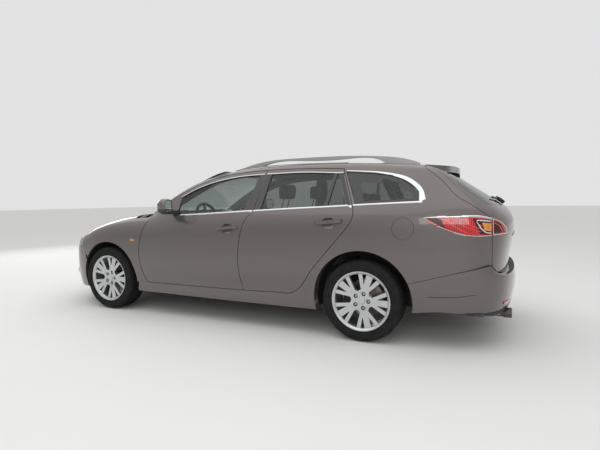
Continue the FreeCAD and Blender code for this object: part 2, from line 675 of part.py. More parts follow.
def make_front_bumper():
    skin = layer(NOSE, 0, SKIN)
    side = skin.common(side_prism(FRONT_BUMPER_SIDE, -1000, 1000))
    middle = skin.common(box(2100, 2450, -405, 405, 600, 698))
    whole = side.fuse(middle)
    arch = wheel_space(FRONT_AXLE_X, FRONT_ARCH_RADIUS)
    fog = rear_prism(FOG_POCKET, 1900, 2500)
    for cutter in (arch, mirrored(arch), fog, mirrored(fog)):
        whole = whole.cut(cutter)
    for opening in (UPPER_GRILLE, LOWER_GRILLE):
        whole = whole.cut(rear_prism(opening, 1900, 2500))
    return whole


def slats(opening, heights, thickness):
    """Level slats across a grille opening, with a rim that lines it, all one piece."""
    slab = layer(NOSE, 6, 24)
    fill = slab.common(rear_prism(grow(opening, -SEAT_GAP), 1900, 2500))
    holes = fill.common(rear_prism(grow(opening, -12), 1900, 2500))
    for z in heights:
        holes = holes.cut(box(1900, 2500, -800, 800, z - thickness / 2, z + thickness / 2))
    return fill.cut(holes)


def make_grille():
    upper = slats(UPPER_GRILLE, [620, 641, 662], 7)
    lower = slats(LOWER_GRILLE, [295, 330, 365, 400], 8)
    return Part.makeCompound([upper, lower])


def make_headlamps():
    lamp = layer(NOSE, 0, SKIN).common(rear_prism(HEADLAMP, 1862, 2400))
    under_bonnet = layer(FRONT_END, 0, 200).common(box(1850, 2400, 300, 900, 500, 900))
    lamp = lamp.common(under_bonnet).cut(side_prism(grow(FRONT_BUMPER_SIDE, PANEL_GAP), -1000, 1000))
    return both(largest(lamp.cut(box(2000, 2500, -1000, 405 + PANEL_GAP, 500, 698 + PANEL_GAP))))


def make_wings():
    """The left front wing: the side above the wheel and behind it, up to the bonnet."""
    skin = layer(FRONT_END, 0, SKIN).common(side_prism(WING, 500, 1000))
    inboard = plan_prism([[(800, 689), (1300, 681), (1700, 645), (1990, 590)], [(1990, 590), (2300, 590)],
                          [(2300, 590), (2300, 300)], [(2300, 300), (800, 300)], [(800, 300), (800, 689)]], 500, 1200)
    skin = skin.cut(inboard).cut(wheel_space(FRONT_AXLE_X, FRONT_ARCH_RADIUS))
    lamp_space = layer(NOSE, -60, SKIN + 3).common(box(1858, 2400, 300, 1000, 560, 900))
    glass_space = layer(SCREEN, -90, SCREEN_THICKNESS + 3).common(box(800, 1300, 400, 800, 800, 1200))
    return both(largest(skin.cut(lamp_space).cut(glass_space)))


def make_bonnet():
    nose_space = layer(NOSE, -60, SKIN + DOOR_GAP).common(box(1800, 2500, -800, 800, 500, 900))
    return largest(layer(FRONT_END, 0, SKIN).common(plan_prism(BONNET, 500, 1200)).cut(nose_space))


def make_roof():
    return layer(ROOF, 0, SKIN).common(plan_prism(ROOF_PANEL, 1200, 1600))


def make_windscreen():
    zone = [SCREEN_EDGE, [(950, 985), SCREEN_CORNER], [SCREEN_CORNER, (1400, SCREEN_BASE_Z)],
            [(1400, SCREEN_BASE_Z), (1400, HEADER_Z)], [(1400, HEADER_Z), (106, 1394)]]
    return layer(SCREEN, 0, SCREEN_THICKNESS).common(side_prism(zone, -800, 800))


def make_quarter_glass():
    return both(pane(QUARTER_WINDOW))


def make_roof_rails():
    """Roof rails: one bowed bar each, with a long slot under it."""
    top = [(53, 1402), (-50, 1424), (-177, 1456), (-290, 1474), (-679, 1490), (-1038, 1488), (-1369, 1470),
           (-1578, 1438), (-1676, 1405)]
    foot = [(-1676, 1405), (-1680, 1387), (-1400, 1411), (-1038, 1429), (-679, 1436), (-290, 1431), (53, 1402)]
    slot = [(-262, 1434), (-330, 1454), (-679, 1464), (-1038, 1462), (-1335, 1448), (-1405, 1416)]
    low = [(-1405, 1416), (-1038, 1434), (-679, 1441), (-262, 1434)]
    bar = side_prism([top, foot], RAIL_Y - RAIL_WIDTH / 2, RAIL_Y + RAIL_WIDTH / 2)
    bar = bar.cut(side_prism([slot, low], RAIL_Y - RAIL_WIDTH, RAIL_Y + RAIL_WIDTH))
    roof_skin = layer(TAIL, -SEAT_GAP, 60)
    return both(bar.cut(roof_skin.common(box(-1800, 200, 500, 640, 1300, 1500))))


def turned(section):
    """A ring: a section of radius and y turned about the axle."""
    points = [V(r, y, 0) for r, y in section]
    face = Part.Face(Part.makePolygon(points + points[:1]))
    return face.revolve(V(0, 0, 0), V(0, 1, 0), 360)


def wheel_point(angle, along, across):
    """A point of the wheel's face, given along and across a spoke's line."""
    a = math.radians(angle)
    return (along * math.cos(a) - across * math.sin(a), along * math.sin(a) + across * math.cos(a))


def tip_point(angle, across):
    """The same at the spokes' outer ends."""
    return wheel_point(angle, math.sqrt(SPOKE_TIP_RADIUS ** 2 - across ** 2), across)


def wedge_window(angle, side):
    """The opening between a broad spoke and the slim one beside it."""
    near, far = WEDGE_TIP
    corners = [wheel_point(angle, WEDGE_APEX[0], side * WEDGE_APEX[1]), tip_point(angle, side * near),
               tip_point(angle, side * (near + far) / 2), tip_point(angle, side * far),
               wheel_point(angle, WEDGE_APEX[0], side * (WEDGE_APEX[1] + 4))]
    return [corners[0:2], corners[1:4], corners[3:5], [corners[4], corners[0]]]


def wide_window(angle, following):
    """The opening between two groups of spokes."""
    middle = (angle + following) / 2
    root, tip = WIDE_ROOT, WIDE_TIP
    corners = [wheel_point(angle, *root), tip_point(angle, tip), wheel_point(middle, SPOKE_TIP_RADIUS, 0),
               tip_point(following, -tip), wheel_point(following, root[0], -root[1]), wheel_point(middle, root[0] - 6, 0)]
    return [corners[0:2], corners[1:4], corners[3:5], [corners[4], corners[5], corners[0]]]


def make_rim():
    """A wheel of five groups of spokes: one broad spoke with a slim one on each side."""
    face = turned(FACE_SECTION)
    step = 360 / SPOKE_GROUPS
    for k in range(SPOKE_GROUPS):
        angle = FIRST_SPOKE + k * step
        for outline in (wedge_window(angle, 1), wedge_window(angle, -1), wide_window(angle, angle + step)):
            face = face.cut(side_prism(outline, 30, 120))
        nut_x, nut_z = wheel_point(angle, STUD_PITCH_RADIUS, 0)
        face = face.cut(tube_y(nut_x, nut_z, NUT_POCKET, 60, 90))
    return turned(RIM_SECTION).fuse(face)


def make_wheels():
    """Tyre, rim and brake disc at each corner."""
    hat = turned([(72, DISC_Y - WHEEL_Y), (DISC_RADIUS, DISC_Y - WHEEL_Y), (DISC_RADIUS, DISC_Y - WHEEL_Y - DISC_THICKNESS),
                  (72, DISC_Y - WHEEL_Y - DISC_THICKNESS)])
    bell = turned([(HUB_BORE_RADIUS, WHEEL_PLANE_OUT - SEAT_GAP), (HUB_RADIUS, WHEEL_PLANE_OUT - SEAT_GAP),
                   (HUB_RADIUS, DISC_Y - WHEEL_Y - 6), (HUB_RADIUS - 8, DISC_Y - WHEEL_Y - 6),
                   (HUB_RADIUS - 8, WHEEL_PLANE_OUT - 10), (HUB_BORE_RADIUS, WHEEL_PLANE_OUT - 10)])
    shapes = {"tyre": turned(TYRE_SECTION), "rim": make_rim(), "brake_disc": hat.fuse(bell)}
    out = {}
    for kind, shape in shapes.items():
        for place, x in (("front", FRONT_AXLE_X), ("rear", REAR_AXLE_X)):
            left = shape.translated(V(x, WHEEL_Y, AXLE_Z))
            out[kind + "_" + place + "_left"] = left
            out[kind + "_" + place + "_right"] = mirrored(left)
    return out


def caliper(x, turn):
    """A brake caliper over the disc's edge, on the side of the axle that turn gives."""
    inner, outer = DISC_RADIUS - 52, DISC_RADIUS + 26
    body = tube_y(x, AXLE_Z, outer, DISC_Y - 62, DISC_Y + 26).cut(tube_y(x, AXLE_Z, inner, 600, 900))
    near, far = sorted((x + turn * 40, x + turn * 240))
    body = body.common(box(near, far, 600, 900, AXLE_Z - 75, AXLE_Z + 95))
    slot = tube_y(x, AXLE_Z, DISC_RADIUS + 6, DISC_Y - DISC_THICKNESS - 5, DISC_Y + 5)
    return body.cut(slot)


def spindle(x):
    return tube_y(x, AXLE_Z, HUB_BORE_RADIUS - SEAT_GAP, 668, WHEEL_Y + WHEEL_PLANE_OUT + 18)


def make_knuckle():
    """Left front knuckle: upright on the steering axis, spindle and caliper."""
    x = FRONT_AXLE_X
    upright = box(x - 42, x + 42, 668, 702, 210, 440)
    foot = tube_z(x, STEER_AXIS_Y, 20, 188.3, 215)
    arm = box(x - 24, x + 24, 612, 690, 440, 466)
    carrier = box(x - 150, x - 40, 680, 700, AXLE_Z - 60, AXLE_Z + 60)
    return fused([upright, foot, arm, spindle(x), carrier, caliper(x, -1)])


def make_front_subframe():
    """Plate under the engine, its posts up to the rails, and the steering rack."""
    x = FRONT_AXLE_X
    pieces = [box(x - 290, x + 150, -480, 480, 160, 200), tube_y(x - 250, 218, 25, -400, 400)]
    for post_x in (x - 280, x + 105):
        post = box(post_x, post_x + 40, 435, 480, 190, 379.7)
        pieces += [post, mirrored(post)]
    return fused(pieces)


def make_front_arms():
    """Lower arms, from the subframe's edge to the ball joint under each knuckle."""
    x = FRONT_AXLE_X
    edge = 480 + SEAT_GAP
    arm = plan_prism(polygon((x - 150, edge), (x + 110, edge), (x + 30, STEER_AXIS_Y), (x - 30, STEER_AXIS_Y)), 166, 188)
    return both(arm.fuse(tube_z(x, STEER_AXIS_Y, 26, 166, 188)))


def make_front_struts():
    """Spring and damper struts, in their towers on the rails."""
    x = FRONT_AXLE_X
    return both(fused([
        tube_z(x, STRUT_Y, 22, 466.3, 840), tube_z(x, STRUT_Y, 60, 690, 840),
        box(x - 70, x + 70, 440, 690, 830, 848), box(x - 60, x + 60, 440, 470, 480.3, 848),
    ]))


def make_rear_crossmember():
    """Rear crossmember with the wall that hangs it from the floor."""
    x = REAR_AXLE_X
    return box(x - 60, x + 90, -430, 430, 250, 320).fuse(box(x + 90, x + 130, -560, 560, 300, 471.7))


def make_rear_uprights():
    """Rear uprights with their spindles, calipers, arms, springs and dampers."""
    x = REAR_AXLE_X
    return both(fused([
        box(x - 42, x + 42, 640, 676, 210, 430), spindle(x), caliper(x, 1),
        box(x + 40, x + 150, 655, 690, AXLE_Z - 60, AXLE_Z + 60),
        box(x - 40, x + 40, 430 + SEAT_GAP, 650, 262, 300), tube_z(x - 10, 500, 58, 300, 471.7),
        tube_z(x - 70, 640, 20, 400, 560),
        box(x - 90, x + 20, 618, 662, 380, 405), box(x - 88, x - 52, 612.3, 645, 520, 555),
    ]))


def liner_ring(x, radius, inner_y):
    """A bent sheet over one wheel, cut off above the sill."""
    outer_y = 852
    ring = tube_y(x, AXLE_Z, radius + LINER, inner_y, outer_y).cut(tube_y(x, AXLE_Z, radius, inner_y - 10, outer_y + 10))
    return ring.cut(box(x - 600, x + 600, 400, 1000, -200, 235))


def make_front_liners():
    """Wheel-arch liners over the front wheels, open where the struts stand."""
    ring = liner_ring(FRONT_AXLE_X, FRONT_LINER_RADIUS, 505)
    ring = ring.cut(layer(FRONT_END, -150, SKIN + 2)).cut(layer(NOSE, -150, SKIN + 2))
    return both(largest(ring.cut(box(FRONT_AXLE_X - 95, FRONT_AXLE_X + 95, 400, 705, 600, 900))))


def make_rear_liners():
    """Wheel-arch liners over the rear wheels."""
    ring = liner_ring(REAR_AXLE_X, REAR_LINER_RADIUS, 612)
    return both(largest(ring.cut(layer(TAIL, -150, FRAME_DEPTH + SEAT_GAP)).cut(layer(BUMPER, -150, SKIN + 2))))


def wheel_room(front):
    """Both wheel spaces of one axle, out to the liners' backs."""
    if front:
        room = tube_y(FRONT_AXLE_X, AXLE_Z, FRONT_LINER_RADIUS + LINER + SEAT_GAP, 486, 1000)
    else:
        room = tube_y(REAR_AXLE_X, AXLE_Z, REAR_LINER_RADIUS + LINER + SEAT_GAP, 611.7, 1000)
    return both(room)


def make_floor():
    """Floor: cabin floor with its tunnel, the step to the boot floor, and the panel behind the rear bumper."""
    pieces = [
        box(-900, 1075, -820, 820, 225, 243), box(-700, 1060, -130, 130, 240, 360),
        box(-918, -880, -611, 611, 225, 490), box(-2290, -900, -611, 611, 472, 490),
        box(-2290, -2262, -599, 599, 330, 545),
        box(-1700, -1200, 585, 611.4, 480, 860), box(-1700, -1200, -611.4, -585, 480, 860),
    ]
    beam = layer(BUMPER, SKIN + SEAT_GAP, 120).common(box(-2400, -2280, -560, 560, 440, 530))
    whole = fused(pieces + [beam]).cut(box(-698, 1070, -118, 118, 200, 348))
    sides = layer(TAIL, -60, FRAME_DEPTH + SEAT_GAP)
    for room in (sides.common(box(-1100, 1200, -1000, 1000, 100, 400)),
                 both(sides.common(box(-2500, -1900, 599, 1000, 200, 800))),
                 layer(BUMPER, -60, SKIN + SEAT_GAP), wheel_room(True), wheel_room(False)):
        whole = whole.cut(room)
    return whole


def make_bulkhead():
    """Bulkhead between engine and cabin, with the cowl under the windscreen's foot."""
    wall = box(1075.3, 1090, -700, 700, 225, 884)
    shelf = box(990, 1262, -672, 672, 876, 890)
    cowl = layer(SCREEN, SCREEN_THICKNESS + SEAT_GAP, 40).common(box(900, 1300, -672, 672, 885, 950))
    side = layer(TAIL, -60, FRAME_DEPTH + SEAT_GAP).common(box(950, 1200, 500, 1000, 200, 1000))
    return largest(fused([wall, shelf, cowl]).cut(side).cut(mirrored(side)).cut(wheel_room(True)))


def make_front_frame(headlamps):
    """Front rails, bumper beam, lamp carrier and the stops that the bonnet shuts on."""
    inside = layer(NOSE, SKIN + SEAT_GAP, 70)
    pieces = [inside.common(box(1900, 2400, -700, 700, 450, 530)), inside.common(box(1900, 2400, -790, 790, 645, 690))]
    for side in (1, -1):
        y0, y1 = sorted((side * RAIL_INNER_Y, side * 485))
        pieces += [box(1090, 2230, y0, y1, 380, 480), box(2130, 2215, y0, y1, 470, 690)]
        pieces += [inside.common(box(1900, 2260, min(side * 560, side * 620), max(side * 560, side * 620), 500, 670))]
    whole = fused(pieces)
    top = layer(FRONT_END, -100, SKIN + SEAT_GAP).common(box(1800, 2420, -820, 820, 500, 900))
    return largest(whole.cut(top).cut(wheel_room(True)).cut(headlamps))


def make_engine():
    return fused([box(1235, 1640, -330, 330, 200.3, 760), box(1300, 1560, -380, -330, 260, 560)])


def make_radiator():
    return box(2080, 2128, -RAIL_INNER_Y + SEAT_GAP, RAIL_INNER_Y - SEAT_GAP, 250, 640)


def make_exhaust():
    """Exhaust: pipe along the tunnel, silencer behind the axle and the tail pipe."""
    route = [V(1140, 60, 190), V(-900, 60, 195), V(-1500, 250, 212), V(-1860, 380, 230)]
    pieces = [rod(a, b, 26) for a, b in zip(route, route[1:])] + [Part.makeSphere(28, p) for p in route[1:3]]
    silencer = box(-2160, -1850, 200, 560, 210, 350)
    tail = Part.makeCylinder(34, 210, V(-2345, 480, 245), V(1, 0, 0))
    pieces += [silencer, tail, box(-2000, -1960, 300, 460, 345, 471.7), box(200, 230, 50, 70, 205, 347.7)]
    return fused(pieces)


def make_front_seats():
    cushion = [[(560, 330), (-60, 300)], [(-60, 300), (-120, 420), (-100, 520)], [(-100, 520), (200, 530), (520, 560)],
               [(520, 560), (585, 500), (560, 330)]]
    back = [[(-60, 480), (-190, 470)], [(-190, 470), (-330, 800), (-420, 1060)], [(-420, 1060), (-340, 1090), (-300, 1050)],
            [(-300, 1050), (-190, 800), (-60, 480)]]
    head = [[(-360, 1110), (-440, 1120)], [(-440, 1120), (-470, 1230), (-440, 1285)], [(-440, 1285), (-370, 1280)],
            [(-370, 1280), (-340, 1190), (-360, 1110)]]
    seat = fused([
        side_prism(cushion, SEAT_Y - 255, SEAT_Y + 255), side_prism(back, SEAT_Y - 250, SEAT_Y + 250),
        side_prism(head, SEAT_Y - 135, SEAT_Y + 135),
        rod(V(-350, SEAT_Y - 60, 1040), V(-400, SEAT_Y - 60, 1150), 7),
        rod(V(-350, SEAT_Y + 60, 1040), V(-400, SEAT_Y + 60, 1150), 7),
        box(-60, 480, SEAT_Y - 225, SEAT_Y - 195, 243.3, 320), box(-60, 480, SEAT_Y + 195, SEAT_Y + 225, 243.3, 320),
    ])
    tunnel = box(-700, 1100, -130.3, 130.3, 200, 360.3)
    return both(seat.cut(tunnel))


def make_rear_seat():
    cushion = [[(-400, 300), (-874, 300)], [(-874, 300), (-874, 520)], [(-874, 520), (-650, 520), (-390, 560)],
               [(-390, 560), (-355, 500), (-400, 300)]]
    back = [[(-820, 490.3), (-918, 490.3)], [(-918, 490.3), (-1080, 1000)], [(-1080, 1000), (-990, 1030), (-950, 980)],
            [(-950, 980), (-880, 750), (-820, 490.3)]]
    pieces = [side_prism(cushion, -640, 640), side_prism(back, -640, 640), box(-860, -420, -600, 600, 243.3, 310)]
    for y in (-400, 0, 400):
        head = [[(-1000, 1040), (-1080, 1040)], [(-1080, 1040), (-1110, 1150), (-1090, 1190)],
                [(-1090, 1190), (-1030, 1190)], [(-1030, 1190), (-990, 1120), (-1000, 1040)]]
        pieces += [side_prism(head, y - 120, y + 120), box(-1060, -1030, y - 40, y + 40, 990, 1060)]
    return fused(pieces).cut(box(-700.3, 0, -130.3, 130.3, 200, 360.3)).cut(wheel_room(False))


def make_dashboard():
    outline = polygon((1075, 600), (1075, 875.7), (989.7, 875.7), (989.7, 890.3), (1180, 890.3))[:4] + [
        [(1180, 890.3), (1150, 940)], [(1150, 940), (900, 985), (760, 985), (640, 900)],
        [(640, 900), (610, 780), (700, 640)], [(700, 640), (1075, 600)]]
    panel = side_prism(outline, -700, 700)
    console = box(60, 720, -110, 110, 360.3, 620)
    column = rod(V(700, SEAT_Y, 850), V(545, SEAT_Y, 915), 28)
    door_space = layer(TAIL, -20, DOOR_DEPTH + 8).common(box(500, 1200, 300, 1000, 500, 1200))
    screen = layer(SCREEN, -60, 42).common(box(500, 1300, -790, 790, 800, 1300))
    whole = fused([panel, console, column]).cut(door_space).cut(mirrored(door_space)).cut(screen)
    return largest(whole)


def make_steering_wheel():
    """Steering wheel: rim, hub and three spokes, square to its column."""
    rim = Part.makeTorus(178, 15)
    pieces = [rim, Part.makeCylinder(55, 34, V(0, 0, -17))]
    for angle in (0, 180, 270):
        a = math.radians(angle)
        pieces.append(rod(V(0, 0, 0), V(176 * math.cos(a), 176 * math.sin(a), 0), 12))
    wheel = fused(pieces)
    along = V(-155, 0, 65)
    place = FreeCAD.Placement(V(545, SEAT_Y, 915) + unit(along) * (17 + SEAT_GAP), FreeCAD.Rotation(V(0, 0, 1), along))
    wheel.Placement = place
    return wheel


def mirror_loft(table):
    """A loft of rounded sections, square to the mirror's own axis, from its glass forwards."""
    sections = []
    for x, share in table:
        points = []
        for k in range(12):
            a = math.radians(30 * k)
            wide = math.copysign(abs(math.cos(a)) ** 0.62, math.cos(a)) * MIRROR_HALF_WIDTH * share
            high = math.copysign(abs(math.sin(a)) ** 0.62, math.sin(a)) * MIRROR_HALF_HEIGHT * share
            points.append(V(x, wide - 0.1 * x, high))
        curve = Part.BSplineCurve()
        curve.interpolate(points, PeriodicFlag=True)
        sections.append(Part.Wire([curve.toShape()]))
    return Part.makeLoft(sections, True)


def make_mirror():
    """Left door mirror: a shell that closes forwards from the pocket of its glass, on a foot on the door."""
    shell = mirror_loft(MIRROR_SHELL).cut(mirror_loft(MIRROR_POCKET))
    shell.rotate(V(0, 0, 0), V(0, 0, 1), MIRROR_TURN)
    shell.translate(V(MIRROR_X, MIRROR_Y, MIRROR_Z))
    foot = box(MIRROR_X + 30, MIRROR_X + 95, 780, MIRROR_Y - 10, MIRROR_Z - 74, MIRROR_Z - 40)
    skin = layer(TAIL, -SEAT_GAP, 140).common(box(400, 1000, 700, 1000, 850, 1200))
    return largest(shell.fuse(foot).cut(skin))


NODES = {}


def main():
    os.makedirs("parts", exist_ok=True)
    side = make_body_side()
    NODES["body_side_left"] = side
    NODES["body_side_right"] = mirrored(side)
    NODES.update(make_doors())
    NODES["fuel_flap"] = make_fuel_flap()
    NODES["tailgate"] = make_tailgate()
    NODES["tailgate_glass"] = make_tailgate_glass()
    NODES["tail_lamps"] = make_tail_lamps()
    NODES["tailgate_lamps"] = make_tailgate_lamps()
    NODES["rear_bumper"] = make_rear_bumper()
    NODES["front_bumper"] = make_front_bumper()
    NODES["grille"] = make_grille()
    NODES["headlamps"] = make_headlamps()
    NODES["wings"] = make_wings()
    NODES["bonnet"] = make_bonnet()
    NODES["roof"] = make_roof()
    NODES["windscreen"] = make_windscreen()
    NODES["quarter_glass"] = make_quarter_glass()
    NODES["roof_rails"] = make_roof_rails()
    NODES.update(make_wheels())
    knuckle = make_knuckle()
    NODES["knuckle_left"] = knuckle
    NODES["knuckle_right"] = mirrored(knuckle)
    NODES["front_subframe"] = make_front_subframe()
    NODES["front_arms"] = make_front_arms()
    NODES["front_struts"] = make_front_struts()
    NODES["rear_crossmember"] = make_rear_crossmember()
    NODES["rear_uprights"] = make_rear_uprights()
    NODES["arch_liners_front"] = make_front_liners()
    NODES["arch_liners_rear"] = make_rear_liners()
    NODES["floor"] = make_floor()
    NODES["bulkhead"] = make_bulkhead()
    NODES["front_frame"] = make_front_frame(NODES["headlamps"])
    NODES["engine"] = make_engine()
    NODES["radiator"] = make_radiator()
    NODES["exhaust"] = make_exhaust()
    NODES["front_seats"] = make_front_seats()
    NODES["rear_seat"] = make_rear_seat()
    NODES["dashboard"] = make_dashboard()
    NODES["steering_wheel"] = make_steering_wheel()
    mirror = make_mirror()
    NODES["mirror_left"] = mirror
    NODES["mirror_right"] = mirrored(mirror)
    for name, shape in NODES.items():
        shape.exportStep("parts/" + name + ".step")


main()
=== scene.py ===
"""Looks of a five-door estate car: paint, glass, lamps, trim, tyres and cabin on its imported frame."""
import json
import math

import bmesh
import bpy
from mathutils import Matrix, Vector
from mathutils.bvhtree import BVHTree


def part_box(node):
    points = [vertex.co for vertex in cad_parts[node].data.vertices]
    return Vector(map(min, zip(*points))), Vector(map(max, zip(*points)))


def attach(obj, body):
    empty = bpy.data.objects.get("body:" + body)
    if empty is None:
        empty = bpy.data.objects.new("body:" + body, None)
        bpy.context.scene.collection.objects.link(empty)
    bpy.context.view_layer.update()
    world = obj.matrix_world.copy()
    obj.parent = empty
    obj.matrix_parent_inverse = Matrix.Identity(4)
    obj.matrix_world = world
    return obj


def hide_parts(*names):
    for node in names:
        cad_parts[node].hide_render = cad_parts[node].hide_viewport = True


bl_info = {
    "name": "Estate car looks",
    "version": (1, 0, 0),
    "blender": (4, 5, 0),
    "location": "3D View > Sidebar > Estate car",
    "description": "Dresses the estate car's frame with paint, glass, lamps, trim, tyres and cabin pieces",
    "category": "Object",
}

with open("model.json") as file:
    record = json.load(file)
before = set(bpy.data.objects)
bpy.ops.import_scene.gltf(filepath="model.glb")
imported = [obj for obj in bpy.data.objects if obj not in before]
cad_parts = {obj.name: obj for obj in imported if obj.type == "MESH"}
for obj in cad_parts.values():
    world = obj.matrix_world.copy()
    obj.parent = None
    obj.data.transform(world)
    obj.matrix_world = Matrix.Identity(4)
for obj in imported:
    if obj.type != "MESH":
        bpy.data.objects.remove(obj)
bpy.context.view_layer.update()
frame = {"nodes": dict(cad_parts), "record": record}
NODES = frame["nodes"]
# The nose points to +X and the left side to +Y; lengths are in metres
SIDES = (("left", 1), ("right", -1))
CORNERS = [(place, side, sign) for place in ("front", "rear") for side, sign in SIDES]
MATERIALS = {}


class BodySettings(bpy.types.PropertyGroup):
    """Paint and window strips"""
    paint: bpy.props.FloatVectorProperty(
        name="Paint", description="Base colour of the body paint", subtype="COLOR",
        default=(0.115, 0.1, 0.096))
    paint_flake: bpy.props.FloatVectorProperty(
        name="Flake", description="Colour of the flakes in the paint", subtype="COLOR",
        default=(0.19, 0.165, 0.155))
    inside: bpy.props.FloatVectorProperty(
        name="Inner trim", description="Colour of the panels' inner sides", subtype="COLOR",
        default=(0.04, 0.04, 0.042))
    strip_width: bpy.props.FloatProperty(
        name="Window strip", description="Width of the bright strip round the side windows", default=0.013,
        unit="LENGTH")
    strip_height: bpy.props.FloatProperty(
        name="Strip height", description="How far the bright strip stands above the door", default=0.0025,
        unit="LENGTH")


class WheelSettings(bpy.types.PropertyGroup):
    """Tyres and wheels"""
    rim: bpy.props.FloatVectorProperty(
        name="Wheel", description="Colour of the alloy wheels", subtype="COLOR", default=(0.56, 0.57, 0.58))
    groove_depth: bpy.props.FloatProperty(
        name="Tread depth", description="Depth of the tyre's grooves", default=0.007, unit="LENGTH")
    blocks: bpy.props.IntProperty(
        name="Tread blocks", description="Shoulder blocks round a tyre", default=64)
    cap_radius: bpy.props.FloatProperty(
        name="Centre cap", description="Radius of the wheel's centre cap", default=0.029, unit="LENGTH")


class CabinSettings(bpy.types.PropertyGroup):
    """Seats and glass"""
    cloth: bpy.props.FloatVectorProperty(
        name="Seat cloth", description="Colour of the seats' cloth", subtype="COLOR",
        default=(0.035, 0.036, 0.04))
    tint: bpy.props.FloatVectorProperty(
        name="Glass tint", description="Colour of light through the glass", subtype="COLOR",
        default=(0.62, 0.68, 0.66))
    swell: bpy.props.FloatProperty(
        name="Cushion swell", description="How far a cushion's cloth may puff out", default=0.012,
        unit="LENGTH")
    voxel: bpy.props.FloatProperty(
        name="Cushion mesh", description="Mesh size of a cushion's cloth", default=0.006, unit="LENGTH")


class StageSettings(bpy.types.PropertyGroup):
    """Floor and camera"""
    floor: bpy.props.FloatVectorProperty(
        name="Floor", description="Colour of the floor", subtype="COLOR", default=(0.78, 0.78, 0.77))
    lens: bpy.props.FloatProperty(
        name="Lens", description="Focal length on a 36 mm sensor", default=25.8, unit="CAMERA")


def material(name, base, metallic, roughness, **sockets):
    """A new material with its shader's plain values set on the shader itself."""
    made = bpy.data.materials.new(name)
    made.use_nodes = True
    shader = made.node_tree.nodes["Principled BSDF"]
    shader.inputs["Base Color"].default_value = (*base[:3], 1.0)
    shader.inputs["Metallic"].default_value = metallic
    shader.inputs["Roughness"].default_value = roughness
    for key, value in sockets.items():
        shader.inputs[key.replace("_", " ")].default_value = value
    MATERIALS[name] = made
    return made


def add_node(made, kind, **values):
    """A node of a material or of the world, with attributes and inputs set by name."""
    node = made.node_tree.nodes.new(kind)
    for key, value in values.items():
        if key in node.inputs:
            node.inputs[key].default_value = value
        else:
            setattr(node, key, value)
    return node


def link(made, a, a_socket, b, b_socket):
    """Wire an output of one node to an input of another."""
    made.node_tree.links.new(a.outputs[a_socket], b.inputs[b_socket])


def shader_of(made):
    """The node that shades a material."""
    return made.node_tree.nodes["Principled BSDF"]


def texture(made, kind, **values):
    """A node that works in object coordinates."""
    node = add_node(made, kind, **values)
    link(made, add_node(made, "ShaderNodeTexCoord"), "Object", node, "Vector")
    return node


def noise(made, scale, detail=3.0):
    """A noise texture in object coordinates."""
    return texture(made, "ShaderNodeTexNoise", Scale=scale, Detail=detail)


def bump(made, source, socket, strength, distance):
    """Let a texture raise and sink the surface."""
    node = add_node(made, "ShaderNodeBump", Strength=strength, Distance=distance)
    link(made, source, socket, node, "Height")
    link(made, node, "Normal", shader_of(made), "Normal")


def grain(made, scale, strength, distance):
    """Raise small cells, as on grained plastic, hide or a reflector."""
    bump(made, texture(made, "ShaderNodeTexVoronoi", Scale=scale), "Distance", strength, distance)


def value_range(made, low, high, first, last):
    """A node that turns values from low to high into values from first to last."""
    limits = {"From Min": low, "From Max": high, "To Min": first, "To Max": last}
    return add_node(made, "ShaderNodeMapRange", **limits)


def ramp(made, source, socket, stops, target=None, target_socket="Base Color"):
    """Colours along a value, linked to the shader unless another target is given."""
    node = add_node(made, "ShaderNodeValToRGB")
    elements = node.color_ramp.elements
    while len(elements) < len(stops):
        elements.new(0.5)
    for element, (position, colour) in zip(elements, stops):
        element.position = position
        element.color = (*colour[:3], 1.0)
    link(made, source, socket, node, "Fac")
    link(made, node, "Color", target or shader_of(made), target_socket)


def vary(made, low, high, scale, detail=3.0):
    """Gentle variation of the base colour."""
    ramp(made, noise(made, scale, detail), "Fac", [(0.3, low), (0.7, high)])


def vary_roughness(made, low, high, scale):
    """Gentle variation of the roughness."""
    spread = value_range(made, 0.0, 1.0, low, high)
    link(made, noise(made, scale, 4.0), "Fac", spread, "Value")
    link(made, spread, "Result", shader_of(made), "Roughness")


def shade(colour, factor):
    """A colour made darker or lighter."""
    return tuple(c * factor for c in colour[:3])


def inner_side(made):
    """A factor that is 1 on faces that look into the car and 0 on the outer skin."""
    place = add_node(made, "ShaderNodeTexCoord")
    spread = add_node(made, "ShaderNodeVectorMath", operation="SUBTRACT")
    spread.inputs[1].default_value = (0, 0, 0.8)
    squeeze = add_node(made, "ShaderNodeVectorMath", operation="MULTIPLY")
    squeeze.inputs[1].default_value = (0.35, 1, 1)
    facing = add_node(made, "ShaderNodeVectorMath", operation="DOT_PRODUCT")
    step = value_range(made, -0.2, -0.16, 1.0, 0.0)
    wires = made.node_tree.links
    wires.new(place.outputs["Object"], spread.inputs[0])
    wires.new(spread.outputs["Vector"], squeeze.inputs[0])
    wires.new(squeeze.outputs["Vector"], facing.inputs[0])
    wires.new(place.outputs["Normal"], facing.inputs[1])
    wires.new(facing.outputs["Value"], step.inputs["Value"])
    return step


def blend_value(made, factor, outer, inner, target):
    """Give a shader value where the factor is 0 and another where it is 1."""
    mix = add_node(made, "ShaderNodeMix")
    mix.inputs["A"].default_value = outer
    mix.inputs["B"].default_value = inner
    link(made, factor, "Result", mix, "Factor")
    link(made, mix, "Result", shader_of(made), target)


# Height of the seam between a mirror's painted cap and its black foot
MIRROR_SEAM = 1.044


